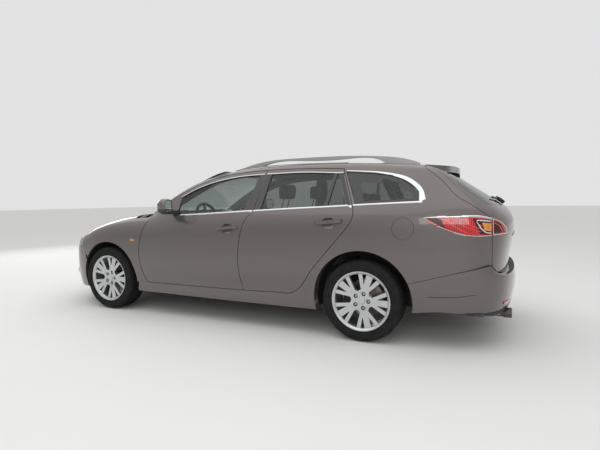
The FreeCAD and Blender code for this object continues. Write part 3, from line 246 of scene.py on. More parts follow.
def make_paint(settings):
    """Metallic paint with a clear coat: dark on inner sides, or black below the mirrors' seam."""
    metallic, roughness = 0.55, 0.36
    for name in ("body_paint", "mirror_paint"):
        paint = material(name, settings.paint, metallic, roughness, Coat_Roughness=0.03)
        bump(paint, noise(paint, 1400.0, 1.0), "Fac", 0.08, 0.0004)
        mix = add_node(paint, "ShaderNodeMix", data_type="RGBA")
        ramp(paint, noise(paint, 900.0, 2.0), "Fac", [(0.42, settings.paint), (0.75, settings.paint_flake)],
             mix, "A")
        mix.inputs["B"].default_value = (*settings.inside, 1)
        if name == "body_paint":
            factor = inner_side(paint)
        else:
            split = texture(paint, "ShaderNodeSeparateXYZ")
            factor = value_range(paint, MIRROR_SEAM - 0.001, MIRROR_SEAM + 0.001, 1.0, 0.0)
            link(paint, split, "Z", factor, "Value")
        link(paint, factor, "Result", mix, "Factor")
        link(paint, mix, "Result", shader_of(paint), "Base Color")
        blend_value(paint, factor, metallic, 0.0, "Metallic")
        blend_value(paint, factor, roughness, 0.6, "Roughness")
        blend_value(paint, factor, 1.0, 0.0, "Coat Weight")


def make_plain_materials():
    """Trim, rails, liners, underbody, running gear, engine, radiator, mirror glass and cabin surfaces."""
    material("black_gloss", (0.012, 0.012, 0.013), 0.0, 0.12, Coat_Weight=0.6)
    trim = material("black_trim", (0.02, 0.02, 0.021), 0.0, 0.55)
    bump(trim, noise(trim, 700.0, 2.0), "Fac", 0.25, 0.0004)
    vary_roughness(trim, 0.48, 0.66, 8.0)
    chrome = material("bright_strip", (0.72, 0.73, 0.75), 1.0, 0.16)
    vary_roughness(chrome, 0.12, 0.22, 14.0)
    rail = material("rail_silver", (0.42, 0.425, 0.43), 0.85, 0.34)
    vary_roughness(rail, 0.3, 0.42, 30.0)
    bump(rail, noise(rail, 1200.0, 1.0), "Fac", 0.08, 0.0002)
    liner = material("arch_liner", (0.012, 0.012, 0.012), 0.0, 0.85)
    bump(liner, noise(liner, 260.0, 4.0), "Fac", 0.6, 0.0015)
    under = material("underbody", (0.022, 0.022, 0.022), 0.1, 0.7)
    vary(under, (0.015, 0.015, 0.015), (0.04, 0.037, 0.034), 7.0)
    bump(under, noise(under, 180.0, 4.0), "Fac", 0.5, 0.001)
    iron = material("running_gear", (0.05, 0.048, 0.046), 0.6, 0.55)
    vary(iron, (0.03, 0.03, 0.03), (0.09, 0.075, 0.065), 22.0, 5.0)
    bump(iron, noise(iron, 300.0, 4.0), "Fac", 0.4, 0.0008)
    steel = material("exhaust_steel", (0.14, 0.135, 0.13), 1.0, 0.48)
    vary(steel, (0.07, 0.065, 0.06), (0.16, 0.155, 0.15), 9.0, 5.0)
    alloy = material("engine_alloy", (0.25, 0.25, 0.25), 0.8, 0.5)
    vary(alloy, (0.12, 0.12, 0.12), (0.32, 0.32, 0.32), 12.0, 5.0)
    core = material("radiator_core", (0.05, 0.05, 0.052), 0.7, 0.5)
    fins = texture(core, "ShaderNodeTexWave", Scale=160.0, bands_direction="Z")
    bump(core, fins, "Fac", 0.8, 0.002)
    mirror = material("mirror_silver", (0.8, 0.82, 0.84), 1.0, 0.02)
    vary_roughness(mirror, 0.01, 0.03, 6.0)
    dash = material("dash_grain", (0.022, 0.022, 0.024), 0.0, 0.6)
    grain(dash, 420.0, 0.35, 0.0006)
    leather = material("wheel_leather", (0.018, 0.018, 0.019), 0.0, 0.42)
    grain(leather, 900.0, 0.3, 0.0003)


def make_glass(settings):
    """Tinted glass, and a darker one for the windows behind the front doors."""
    for name, tint in (("glass", settings.tint), ("glass_rear", shade(settings.tint, 0.55))):
        material(name, tint, 0.0, 0.0, Transmission_Weight=1.0, IOR=1.45)


def make_wheel_materials(settings):
    """Rubber, alloy, disc iron and nut steel."""
    tyre = material("tyre_rubber", (0.012, 0.012, 0.012), 0.0, 0.85)
    shader_of(tyre).inputs["Specular IOR Level"].default_value = 0.25
    vary(tyre, (0.008, 0.008, 0.008), (0.018, 0.0175, 0.017), 18.0, 5.0)
    bump(tyre, noise(tyre, 420.0, 4.0), "Fac", 0.3, 0.0006)
    rim = material("rim_silver", settings.rim, 0.85, 0.3, Coat_Weight=0.7, Coat_Roughness=0.06)
    vary_roughness(rim, 0.24, 0.36, 30.0)
    bump(rim, noise(rim, 1500.0, 1.0), "Fac", 0.06, 0.0002)
    disc = material("disc_iron", (0.3, 0.29, 0.28), 1.0, 0.35)
    vary(disc, (0.2, 0.17, 0.15), (0.36, 0.35, 0.34), 16.0, 5.0)
    nut = material("nut_steel", (0.5, 0.5, 0.5), 1.0, 0.25)
    vary_roughness(nut, 0.2, 0.35, 90.0)


def make_cloth(settings):
    """Seat cloth, woven from two crossed sets of threads."""
    cloth = material("seat_cloth", settings.cloth, 0.0, 0.9, Sheen_Weight=0.35, Sheen_Roughness=0.5)
    weave = add_node(cloth, "ShaderNodeMath", operation="MULTIPLY")
    for number, direction in enumerate("XZ"):
        threads = texture(cloth, "ShaderNodeTexWave", Scale=210.0, Distortion=0.6,
                          bands_direction=direction)
        link(cloth, threads, "Fac", weave, number)
    ramp(cloth, weave, "Value", [(0.1, shade(settings.cloth, 0.6)), (0.8, shade(settings.cloth, 1.7))])
    bump(cloth, weave, "Value", 0.5, 0.0008)


def make_lamp_materials():
    """Lenses, reflectors and bright edges of the lamps."""
    red = material("lamp_red", (0.5, 0.012, 0.016), 0.0, 0.1, Coat_Weight=1.0, Coat_Roughness=0.02)
    ribs = texture(red, "ShaderNodeTexWave", Scale=26.0, Distortion=2.0)
    ramp(red, ribs, "Fac", [(0.0, (0.16, 0.006, 0.008)), (0.5, (0.5, 0.012, 0.016)),
                            (1.0, (0.78, 0.03, 0.03))])
    dark = material("lamp_dark", (0.03, 0.006, 0.008), 0.0, 0.25)
    vary(dark, (0.016, 0.004, 0.006), (0.07, 0.008, 0.01), 30.0)
    amber = material("lamp_amber", (0.75, 0.28, 0.03), 0.0, 0.12, Coat_Weight=1.0, Coat_Roughness=0.02)
    vary(amber, (0.5, 0.16, 0.01), (0.85, 0.36, 0.05), 60.0)
    cover = material("lamp_cover", (0.3, 0.31, 0.33), 0.6, 0.22, Coat_Weight=1.0, Coat_Roughness=0.01)
    vary(cover, (0.14, 0.145, 0.155), (0.42, 0.43, 0.45), 14.0, 2.0)
    silver = material("lamp_silver", (0.7, 0.71, 0.73), 0.9, 0.14, Coat_Weight=1.0)
    vary_roughness(silver, 0.1, 0.2, 40.0)
    bright = material("lamp_bright", (0.8, 0.04, 0.04), 0.0, 0.08, Coat_Weight=1.0, Coat_Roughness=0.02)
    vary(bright, (0.6, 0.02, 0.02), (0.9, 0.07, 0.06), 70.0)
    lens = material("lamp_lens", (0.55, 0.58, 0.62), 0.3, 0.05, Coat_Weight=1.0)
    vary(lens, (0.4, 0.43, 0.47), (0.66, 0.7, 0.74), 60.0)
    reflector = material("lamp_reflector", (0.75, 0.76, 0.78), 1.0, 0.12)
    grain(reflector, 120.0, 0.4, 0.002)


def clamp(value):
    """A value kept between 0 and 1."""
    return min(max(value, 0.0), 1.0)


def new_object(name, data):
    """A new object of the scene that holds a mesh, a light or a camera."""
    made = bpy.data.objects.new(name, data)
    bpy.context.scene.collection.objects.link(made)
    return made


def add_piece(bm, name, made, body, angle=35.0, replaces=()):
    """Turn a bmesh into a shaded piece that rides on a body."""
    bm.normal_update()
    mesh = bpy.data.meshes.new(name)
    bm.to_mesh(mesh)
    bm.free()
    piece = new_object(name, mesh)
    mesh.materials.append(MATERIALS[made])
    mesh.shade_smooth()
    mesh.set_sharp_from_angle(angle=math.radians(angle))
    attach(piece, body)
    if replaces:
        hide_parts(*replaces)
    return piece


def spin_profile(bm, centre, points, axis, steps, closed=False):
    """Spin a profile, given as points in space, a full turn round an axis through a centre."""
    verts = [bm.verts.new(point) for point in points]
    ends = verts[1:] + verts[:1] if closed else verts[1:]
    edges = [bm.edges.new(pair) for pair in zip(verts, ends)]
    bmesh.ops.spin(bm, geom=verts + edges, cent=centre, axis=axis, angle=2 * math.pi, steps=steps,
                   use_merge=True)
    bmesh.ops.remove_doubles(bm, verts=bm.verts, dist=1e-5)
    bmesh.ops.recalc_face_normals(bm, faces=bm.faces)


def rounded_block(low, high, offset, segments=4):
    """A block with rounded edges, as a new bmesh."""
    bm = bmesh.new()
    bmesh.ops.create_cube(bm, size=1.0)
    for vert in bm.verts:
        vert.co = Vector([a + (b - a) * (c + 0.5) for a, b, c in zip(low, high, vert.co)])
    bmesh.ops.bevel(bm, geom=bm.edges[:], offset=offset, offset_type="OFFSET", affect="EDGES",
                    segments=segments, profile=0.5, material=-1)
    return bm


def tree_of(*names):
    """A search tree over the surfaces of some CAD nodes."""
    bm = bmesh.new()
    for name in names:
        bm.from_mesh(NODES[name].data)
    tree = BVHTree.FromBMesh(bm)
    bm.free()
    return tree


def cast_along(tree, start, direction, place):
    """A way to lay points on a surface, by rays that start at a distance before each point's place."""
    way = Vector(direction)

    def cast(u, v, lift):
        spot = Vector(place(u, v)) - way * start
        hit, normal, _, _ = tree.ray_cast(spot, way)
        if hit is None:
            hit, normal, _, _ = tree.find_nearest(spot + way * start)
        if normal.dot(way) > 0:
            normal = -normal
        return hit + normal * lift
    return cast


def cast_side(tree, sign):
    """A way to lay points x, z on one side of the car."""
    return cast_along(tree, 0.5, (0, -sign, 0), lambda u, v: (u, sign * 0.9, v))


def cast_back(tree):
    """A way to lay points y, z on what shows from behind."""
    return cast_along(tree, 4.0, (1, 0, 0), lambda u, v: (-0.5, u, v))


def cast_front(tree):
    """A way to lay points y, z on what shows from the front."""
    return cast_along(tree, 4.0, (-1, 0, 0), lambda u, v: (0.5, u, v))


def cast_top(tree):
    """A way to lay points x, y on what shows from above."""
    return cast_along(tree, 2.0, (0, 0, -1), lambda u, v: (u, v, 1.0))


def along(points, count):
    """Evenly spaced places on a smooth curve through points u, v."""
    spots = [Vector(p) for p in points]
    parts = 12
    fine = []
    for i in range(len(spots) - 1):
        before, after = spots[max(i - 1, 0)], spots[min(i + 2, len(spots) - 1)]
        for k in range(parts):
            t = k / parts
            a = (spots[i + 1] - before) * 0.5
            b = (after - spots[i]) * 0.5
            fine.append((2 * t ** 3 - 3 * t ** 2 + 1) * spots[i] + (t ** 3 - 2 * t ** 2 + t) * a
                        + (3 * t ** 2 - 2 * t ** 3) * spots[i + 1] + (t ** 3 - t ** 2) * b)
    fine.append(spots[-1])
    walked = [0.0]
    for p, q in zip(fine, fine[1:]):
        walked.append(walked[-1] + (q - p).length)
    out, i = [], 0
    for k in range(count + 1):
        wanted = walked[-1] * k / count
        while i < len(fine) - 2 and walked[i + 1] < wanted:
            i += 1
        share = (wanted - walked[i]) / max(walked[i + 1] - walked[i], 1e-9)
        out.append(fine[i].lerp(fine[i + 1], min(share, 1.0)))
    return out


def band(name, first, second, cast, made, body, lift, crown=0.0, steps=24, rows=4, thickness=0.002):
    """A thin sheet between two curves that lies on a surface; crown lifts its middle."""
    bm = bmesh.new()
    one, two = along(first, steps), along(second, steps)
    closed = (one[0] - one[-1]).length < 1e-6
    upper, lower = [], []
    for p, q in zip(one[:-1] if closed else one, two[:-1] if closed else two):
        spots = [p.lerp(q, k / rows) for k in range(rows + 1)]
        tops = [cast(s.x, s.y, lift + crown * math.sin(math.pi * k / rows)) for k, s in enumerate(spots)]
        feet = [cast(s.x, s.y, lift - thickness) for s in spots]
        upper.append([bm.verts.new(spot) for spot in tops])
        lower.append([bm.verts.new(spot) for spot in feet])
    count = len(upper)
    for i in range(count if closed else count - 1):
        j = (i + 1) % count
        for k in range(rows):
            bm.faces.new((upper[i][k], upper[i][k + 1], upper[j][k + 1], upper[j][k]))
            bm.faces.new((lower[i][k], lower[j][k], lower[j][k + 1], lower[i][k + 1]))
        bm.faces.new((upper[i][0], upper[j][0], lower[j][0], lower[i][0]))
        bm.faces.new((upper[i][rows], lower[i][rows], lower[j][rows], upper[j][rows]))
    if not closed:
        for i, turned in ((0, False), (count - 1, True)):
            for k in range(rows):
                wall = (upper[i][k], lower[i][k], lower[i][k + 1], upper[i][k + 1])
                bm.faces.new(wall[::-1] if turned else wall)
    bmesh.ops.remove_doubles(bm, verts=bm.verts, dist=1e-6)
    bmesh.ops.recalc_face_normals(bm, faces=bm.faces)
    add_piece(bm, name, made, body, 50.0)


def bridge(name, edge, other, way, made):
    """A sheet on the body that closes the gap between two edges, each a list of points in space."""
    def spot(points, share):
        place = share * (len(points) - 1)
        i = min(int(place), len(points) - 2)
        return points[i].lerp(points[i + 1], place - i)

    def cast(u, v, lift):
        return spot(edge, u).lerp(spot(other, u), v) + way * lift
    band(name, ((0, 0), (1, 0)), ((0, 1), (1, 1)), cast, made, "body", 0.0, 0.0, 20)


def mirror_points(points, sign):
    """Points y, z of the left side, moved to the side that the sign says."""
    return [(sign * u, v) for u, v in points]


def offset_line(points, distance):
    """A curve moved sideways by one distance, or by one for each of its points."""
    spots = [Vector(p) for p in points]
    shifts = distance if isinstance(distance, (list, tuple)) else [distance] * len(spots)
    out = []
    for i, (spot, shift) in enumerate(zip(spots, shifts)):
        way = (spots[min(i + 1, len(spots) - 1)] - spots[max(i - 1, 0)]).normalized()
        out.append((spot.x - way.y * shift, spot.y + way.x * shift))
    return out


class CAR_OT_materials(bpy.types.Operator):
    """Make every finish of the car and put it on the frame's own pieces"""
    bl_idname = "estate.materials"
    bl_label = "Finishes"

    def execute(self, context):
        scene = context.scene
        make_paint(scene.estate_body)
        make_plain_materials()
        make_glass(scene.estate_cabin)
        make_wheel_materials(scene.estate_wheels)
        make_cloth(scene.estate_cabin)
        make_lamp_materials()
        finishes = {
            "body_paint": "body_paint", "glass": "glass", "tail_lamp": "lamp_red", "headlamp": "lamp_cover",
            "rail": "rail_silver", "grille": "black_trim", "tyre": "tyre_rubber", "rim": "rim_silver",
            "brake": "disc_iron", "running_gear": "running_gear", "liner": "arch_liner",
            "underbody": "underbody", "engine": "engine_alloy", "radiator": "radiator_core",
            "exhaust": "exhaust_steel", "seat_cloth": "seat_cloth", "dashboard": "dash_grain",
            "steering_wheel": "wheel_leather",
        }
        for entry in frame["record"]["subparts"]:
            node = NODES.get(entry["node"])
            if node is None:
                continue
            node.data.materials.clear()
            node.data.materials.append(MATERIALS[finishes[entry["material_slot"]]])
        for name in ("tailgate_glass", "quarter_glass", "door_glass_rear_left", "door_glass_rear_right"):
            NODES[name].data.materials[0] = MATERIALS["glass_rear"]
        return {"FINISHED"}


# Half of a tyre's section, from the bead up to the tread: radius and distance from the middle plane
TYRE_PROFILE = (
    (0.216, 0.088), (0.222, 0.093), (0.231, 0.0965), (0.237, 0.0965), (0.2415, 0.1025), (0.262, 0.106),
    (0.285, 0.1068), (0.297, 0.105), (0.2995, 0.1025), (0.31, 0.0985), (0.317, 0.089), (0.3215, 0.076),
    (0.3235, 0.06),
)
# The tread's grooves round the tyre: distances from the middle plane, and half of a groove's width
GROOVES = (0.054, 0.02)
GROOVE_HALF = 0.0045
# Cuts across the tread, in every third step of the spin: which one, least radius, inner and outer edge
TREAD_CUTS = ((0, 0.3145, 0.06, 0.096), (1, 0.322, 0.025, 0.049))


def tyre_profile(depth):
    """Radius and distance from the middle, from the outer bead over the tread to the inner bead."""
    half = list(TYRE_PROFILE)
    crown = TYRE_PROFILE[-1][0]
    for y in GROOVES:
        half += [(crown, y + GROOVE_HALF), (crown - depth, y + GROOVE_HALF * 0.7),
                 (crown - depth, y - GROOVE_HALF * 0.7), (crown, y - GROOVE_HALF)]
    return half + [(r, -y) for r, y in reversed(half)]


class CAR_OT_tyres(bpy.types.Operator):
    """Spin a treaded tyre for each wheel"""
    bl_idname = "estate.tyres"
    bl_label = "Tyres"

    def execute(self, context):
        settings = context.scene.estate_wheels
        for place, side, sign in CORNERS:
            node = "tyre_%s_%s" % (place, side)
            low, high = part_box(node)
            hub = (low + high) / 2
            bm = bmesh.new()
            section = [(hub.x + r, hub.y + sign * y, hub.z) for r, y in tyre_profile(settings.groove_depth)]
            steps = settings.blocks * 3
            spin_profile(bm, hub, section, (0, 1, 0), steps, closed=True)
            slots = []
            for face in bm.faces:
                middle = face.calc_center_median() - hub
                number = math.floor(math.atan2(middle.z, middle.x) / (2 * math.pi) * steps) % 3
                radius = math.hypot(middle.x, middle.z)
                for cut, least, inner, outer in TREAD_CUTS:
                    if number == cut and radius > least and inner < abs(middle.y) < outer:
                        slots.append(face)
            pushed = bmesh.ops.extrude_face_region(bm, geom=slots)["geom"]
            bmesh.ops.delete(bm, geom=slots, context="FACES_ONLY")
            for vert in (g for g in pushed if isinstance(g, bmesh.types.BMVert)):
                arm = Vector((vert.co.x - hub.x, 0, vert.co.z - hub.z))
                vert.co -= arm.normalized() * settings.groove_depth * 0.7
            add_piece(bm, "treaded_" + node, "tyre_rubber", "wheel_%s_%s" % (place, side), 30.0,
                      [node])
        return {"FINISHED"}


# Five nuts on a circle round the hub and the valve near the rim: radius and angles
NUT_CIRCLE = 0.05715
NUT_ANGLES = [math.radians(110 + 72 * k) for k in range(5)]
VALVE_CIRCLE = 0.192
VALVE_ANGLE = math.radians(146)


def wheel_spot(hub, sign, radius, angle, out):
    """A point of the wheel's outer side at a radius and an angle, out from the middle plane."""
    return Vector((hub.x + radius * math.cos(angle), hub.y + sign * out, hub.z + radius * math.sin(angle)))


class CAR_OT_wheel_centres(bpy.types.Operator):
    """Put the centre cap, the wheel nuts, black linings of painted shade in the nut pockets, and the valve
    on each wheel
    """
    bl_idname = "estate.wheel_centres"
    bl_label = "Wheel centres"

    def execute(self, context):
        settings = context.scene.estate_wheels
        for place, side, sign in CORNERS:
            body = "wheel_%s_%s" % (place, side)
            low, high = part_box("tyre_%s_%s" % (place, side))
            hub = (low + high) / 2
            face_y = hub.y + sign * 0.074
            outward = Matrix.Rotation(-sign * math.pi / 2, 4, "X")
            bm = bmesh.new()
            profile = ((0.0, 0.0065), (0.012, 0.0062), (0.0225, 0.005), (0.0255, 0.0052),
                       (settings.cap_radius, 0.003), (settings.cap_radius + 0.0005, -0.006))
            section = [(hub.x + r, face_y + sign * y, hub.z) for r, y in profile]
            spin_profile(bm, hub, section, (0, 1, 0), 48)
            add_piece(bm, "cap_" + body, "rim_silver", body)
            bm = bmesh.new()
            for angle in NUT_ANGLES:
                spot = wheel_spot(hub, sign, NUT_CIRCLE, angle, 0.066)
                nut = bmesh.ops.create_cone(bm, cap_ends=True, segments=6, radius1=0.0098, radius2=0.0088,
                                            depth=0.018, matrix=Matrix.Translation(spot) @ outward)
                ends = [e for e in bm.edges if all(v in nut["verts"] for v in e.verts)]
                bmesh.ops.bevel(bm, geom=ends, offset=0.0012, offset_type="OFFSET", affect="EDGES",
                                segments=2, profile=0.5, material=-1)
            add_piece(bm, "nuts_" + body, "nut_steel", body)
            # Black linings in the nut pockets: painted shade that stands for the shadow in the alloy's
            # pockets
            bm = bmesh.new()
            for angle in NUT_ANGLES:
                centre = wheel_spot(hub, sign, NUT_CIRCLE, angle, 0.061)
                profile = ((0.0105, 0.0), (0.0166, 0.0), (0.0166, 0.011))
                section = [centre + Vector((r, sign * y, 0)) for r, y in profile]
                spin_profile(bm, centre, section, (0, 1, 0), 24)
            bmesh.ops.solidify(bm, geom=bm.faces[:], thickness=0.0004)
            add_piece(bm, "painted_pocket_shade_" + body, "black_trim", body)
            bm = bmesh.new()
            spot = wheel_spot(hub, sign, VALVE_CIRCLE, VALVE_ANGLE, 0.082)
            bmesh.ops.create_cone(bm, cap_ends=True, segments=16, radius1=0.005, radius2=0.0038,
                                  depth=0.034, matrix=Matrix.Translation(spot) @ outward)
            add_piece(bm, "valve_" + body, "black_trim", body)
        return {"FINISHED"}


# Side windows, x and z: foot lines and top lines from front to rear
FOOT_LINES = (
    ("door_front", ((0.56, 0.986), (0.18, 1.006), (-0.196, 1.028), (-0.294, 1.032))),
    ("door_rear", ((-0.302, 1.033), (-0.66, 1.052), (-0.961, 1.066), (-1.2, 1.078))),
    ("body", ((-1.211, 1.079), (-1.4, 1.088), (-1.738, 1.103))),
)
TOP_LINES = (
    ("door_front", ((0.563, 1.152), (0.4, 1.231), (0.19, 1.295), (-0.057, 1.334), (-0.285, 1.347),
                    (-0.336, 1.349))),
    ("door_rear", ((-0.356, 1.35), (-0.406, 1.35), (-0.72, 1.353), (-1.009, 1.338), (-1.088, 1.337))),
)
# The quarter window's rear edge from its foot up, its strip's widths, and the glass border's inner edge
QUARTER_REAR = ((-1.738, 1.104), (-1.704, 1.178), (-1.635, 1.24), (-1.544, 1.284), (-1.365, 1.325),
                (-1.112, 1.348))
QUARTER_WIDTHS = (0.026, 0.032, 0.03, 0.024, 0.014, 0.009)
QUARTER_INNER = ((-1.665, 1.12), (-1.655, 1.165), (-1.598, 1.213), (-1.518, 1.25), (-1.352, 1.295),
                 (-1.12, 1.325))
# Black pieces on the pillars: body, front edge and rear edge, from the foot up
PILLARS = (
    ("door_front", ((-0.199, 1.031), (-0.286, 1.345)), ((-0.2935, 1.035), (-0.337, 1.346))),
    ("door_rear", ((-0.3025, 1.036), (-0.3545, 1.349)), ((-0.368, 1.04), (-0.404, 1.346))),
    ("door_rear", ((-0.963, 1.069), (-1.01, 1.334)), ((-0.991, 1.07), (-1.032, 1.332))),
    ("door_rear", ((-1.148, 1.079), (-1.053, 1.332)), ((-1.2, 1.082), (-1.096, 1.338))),
)


class CAR_OT_window_trim(bpy.types.Operator):
    """Frame the side windows with bright strips and dress the pillars in black"""
    bl_idname = "estate.window_trim"
    bl_label = "Window trim"

    def execute(self, context):
        settings = context.scene.estate_body
        width, height = settings.strip_width, settings.strip_height
        for side, sign in SIDES:
            casts = {
                "door_front": cast_side(tree_of("door_front_" + side), sign),
                "door_rear": cast_side(tree_of("door_rear_" + side), sign),
                "body": cast_side(tree_of("body_side_" + side), sign),
            }
            glass = cast_side(tree_of("quarter_glass"), sign)
            for place, foot in FOOT_LINES:
                body = place if place == "body" else place + "_" + side
                band("foot_strip_%s_%s" % (place, side), foot, offset_line(foot, width), casts[place],
                     "bright_strip", body, height, height * 0.6)
            for place, top in TOP_LINES:
                band("top_strip_%s_%s" % (place, side), top, offset_line(top, -width * 0.55), casts[place],
                     "bright_strip", place + "_" + side, height, height * 0.4)
            band("rear_strip_" + side, offset_line(QUARTER_REAR, 0.001),
                 offset_line(QUARTER_REAR, QUARTER_WIDTHS), casts["body"], "bright_strip", "body",
                 height, height * 0.8, 40)
            for number, (place, front, rear) in enumerate(PILLARS):
                band("pillar_%d_%s" % (number, side), front, rear, casts[place], "black_gloss",
                     place + "_" + side, 0.0012)
            band("quarter_front_" + side, ((-1.228, 1.085), (-1.111, 1.344)),
                 ((-1.296, 1.09), (-1.216, 1.336)), glass, "black_gloss", "body", 0.0008,
                 thickness=0.0006)
            band("quarter_foot_" + side, ((-1.235, 1.084), (-1.73, 1.105)),
                 ((-1.24, 1.102), (-1.71, 1.124)), glass, "black_gloss", "body", 0.0006,
                 thickness=0.0005)
            band("quarter_rear_" + side, QUARTER_REAR, QUARTER_INNER, glass, "black_gloss", "body",
                 0.0007, steps=40, thickness=0.0005)
        return {"FINISHED"}


# Edges of the rear lamps, x and z: the body lamp's top and foot, and the tailgate lamp's arc
LAMP_TOP = ((-1.745, 0.981), (-1.831, 0.991), (-2.004, 0.998), (-2.13, 0.996), (-2.209, 0.978))
LAMP_FOOT = ((-1.745, 0.981), (-1.852, 0.918), (-1.97, 0.873), (-2.085, 0.85), (-2.211, 0.852))
GATE_ARC = ((-2.214, 0.976), (-2.25, 0.961), (-2.28, 0.937), (-2.305, 0.9), (-2.311, 0.86))


class CAR_OT_tail_lamps(bpy.types.Operator):
    """Dress the tail lamps: bright edges, dark tip, red facets, and the amber end in its ring"""
    bl_idname = "estate.tail_lamps"
    bl_label = "Tail lamps"

    def execute(self, context):
        for side, sign in SIDES:
            outer = cast_side(tree_of("tail_lamps"), sign)
            gate = cast_side(tree_of("tailgate_lamps"), sign)

            def lay(name, first, second, made, cast=outer, body="body", lift=0.001, crown=0.0, steps=28):
                band("%s_%s" % (name, side), first, second, cast, made, body, lift, crown,
                     steps)

            lay("lamp_brow", LAMP_TOP, offset_line(LAMP_TOP, [0.002, 0.012, 0.015, 0.014, 0.012]),
                "lamp_silver", lift=0.0025, crown=0.002, steps=40)
            lay("lamp_tip", ((-1.778, 0.977), (-1.82, 0.982), (-1.87, 0.982)),
                ((-1.782, 0.969), (-1.84, 0.937), (-1.91, 0.905)), "lamp_dark", lift=0.0015)
            lay("lamp_foot", LAMP_FOOT[1:], offset_line(LAMP_FOOT[1:], -0.005), "lamp_silver", lift=0.002,
                steps=40)
            blades = ((0.0, 0.006), (0.05, 0.005), (0.1, 0.005), (0.155, 0.004))
            for number, (lean, thick) in enumerate(blades):
                top = (-1.86 - lean * 1.6, 0.978 - 0.01 * number)
                bend = (top[0] - 0.09, 0.93 - 0.008 * number)
                foot = (min(top[0] - 0.2, -2.03), 0.872 + 0.012 * number)
                line = (top, bend, foot)
                lay("lamp_blade_%d" % number, line, offset_line(line, thick), "lamp_bright", lift=0.0016,
                    crown=0.001)
            lay("lamp_well", ((-2.085, 0.975), (-2.13, 0.972), (-2.203, 0.962)),
                ((-2.135, 0.868), (-2.17, 0.862), (-2.203, 0.862)), "lamp_dark", lift=0.0013)
            ring = ((-2.2, 0.958), (-2.115, 0.965), (-2.122, 0.93), (-2.145, 0.895), (-2.175, 0.872),
                    (-2.203, 0.868))
            lay("lamp_ring", ring, offset_line(ring, -0.008), "lamp_silver", lift=0.003, crown=0.002,
                steps=44)
            lay("lamp_amber", ((-2.146, 0.946), (-2.204, 0.94)), ((-2.165, 0.892), (-2.204, 0.884)),
                "lamp_amber", lift=0.002, crown=0.002)
            lay("gate_arc", GATE_ARC, offset_line(GATE_ARC, 0.006), "lamp_silver", gate, "tailgate", 0.0025,
                0.001, 40)
            lay("gate_foot", ((-2.217, 0.8545), (-2.31, 0.8605)), ((-2.217, 0.8605), (-2.306, 0.8665)),
                "lamp_silver", gate, "tailgate", 0.0025)
            lay("gate_edge", ((-2.2165, 0.86), (-2.2145, 0.974)), ((-2.2205, 0.86), (-2.2185, 0.972)),
                "lamp_silver", gate, "tailgate", 0.0025)
            lay("gate_well", ((-2.224, 0.87), (-2.296, 0.872)), ((-2.224, 0.958), (-2.262, 0.938)),
                "lamp_dark", gate, "tailgate", 0.0012)
            line = ((-2.225, 0.945), (-2.258, 0.922), (-2.28, 0.88))
            lay("gate_blade", line, offset_line(line, 0.005), "lamp_bright", gate, "tailgate", 0.0022,
                0.001)
        return {"FINISHED"}


def circle(u, v, radius, squash=1.0):
    """Points of a closed circle, or of a flat oval."""
    angles = [2 * math.pi * k / 24 for k in range(25)]
    return [(u + radius * math.cos(a), v + squash * radius * math.sin(a)) for a in angles]


def facing_way(bm, way):
    """Turn all faces over when most of them look away from a direction."""
    if sum(face.normal.dot(way) * face.calc_area() for face in bm.faces) < 0:
        bmesh.ops.reverse_faces(bm, faces=bm.faces)


def lamp_eye(name, u, v, radius, cast):
    """A round lamp under a cover: bright ring, dark bowl and pale middle."""
    for part, outer, inner, made, lift in (
        ("ring", 1.0, 0.84, "lamp_silver", 0.003), ("bowl", 0.86, 0.42, "lamp_reflector", 0.0015),
        ("middle", 0.44, 0.02, "lamp_lens", 0.003),
    ):
        band("%s_%s" % (name, part), circle(u, v, radius * outer), circle(u, v, radius * inner), cast, made,
             "body", lift, 0.0015, 40, 3)


# The fog lamp's pocket: y and z of its four corners with the first one again, and its rings' size and depth
FOG_CORNERS = ((0.596, 0.296), (0.766, 0.296), (0.754, 0.386), (0.595, 0.405), (0.596, 0.296))
FOG_RINGS = ((1.0, 0.002), (0.94, 0.004), (0.88, -0.02), (0.5, -0.032), (0.02, -0.033))
FOG_STEPS = 8
# The fog lamp's section: radius and distance forward
FOG_LAMP = ((0.0, 0.012), (0.02, 0.0105), (0.034, 0.006), (0.037, 0.008), (0.042, 0.006), (0.043, -0.024))


def fog_pocket(corners, middle):
    """A pocket that narrows backwards from four corners, as a new bmesh that faces forward."""
    bm = bmesh.new()
    count = 4 * FOG_STEPS
    loops = []
    for shrink, depth in FOG_RINGS:
        loop = []
        for k in range(count):
            i, step = divmod(k, FOG_STEPS)
            spot = corners[i].lerp(corners[i + 1], step / FOG_STEPS)
            loop.append(bm.verts.new(middle.lerp(spot, shrink) + Vector((depth, 0, 0))))
        loops.append(loop)
    for one, two in zip(loops, loops[1:]):
        for k in range(count):
            bm.faces.new((one[k], one[(k + 1) % count], two[(k + 1) % count], two[k]))
    bmesh.ops.recalc_face_normals(bm, faces=bm.faces)
    facing_way(bm, Vector((1, 0, 0)))
    return bm


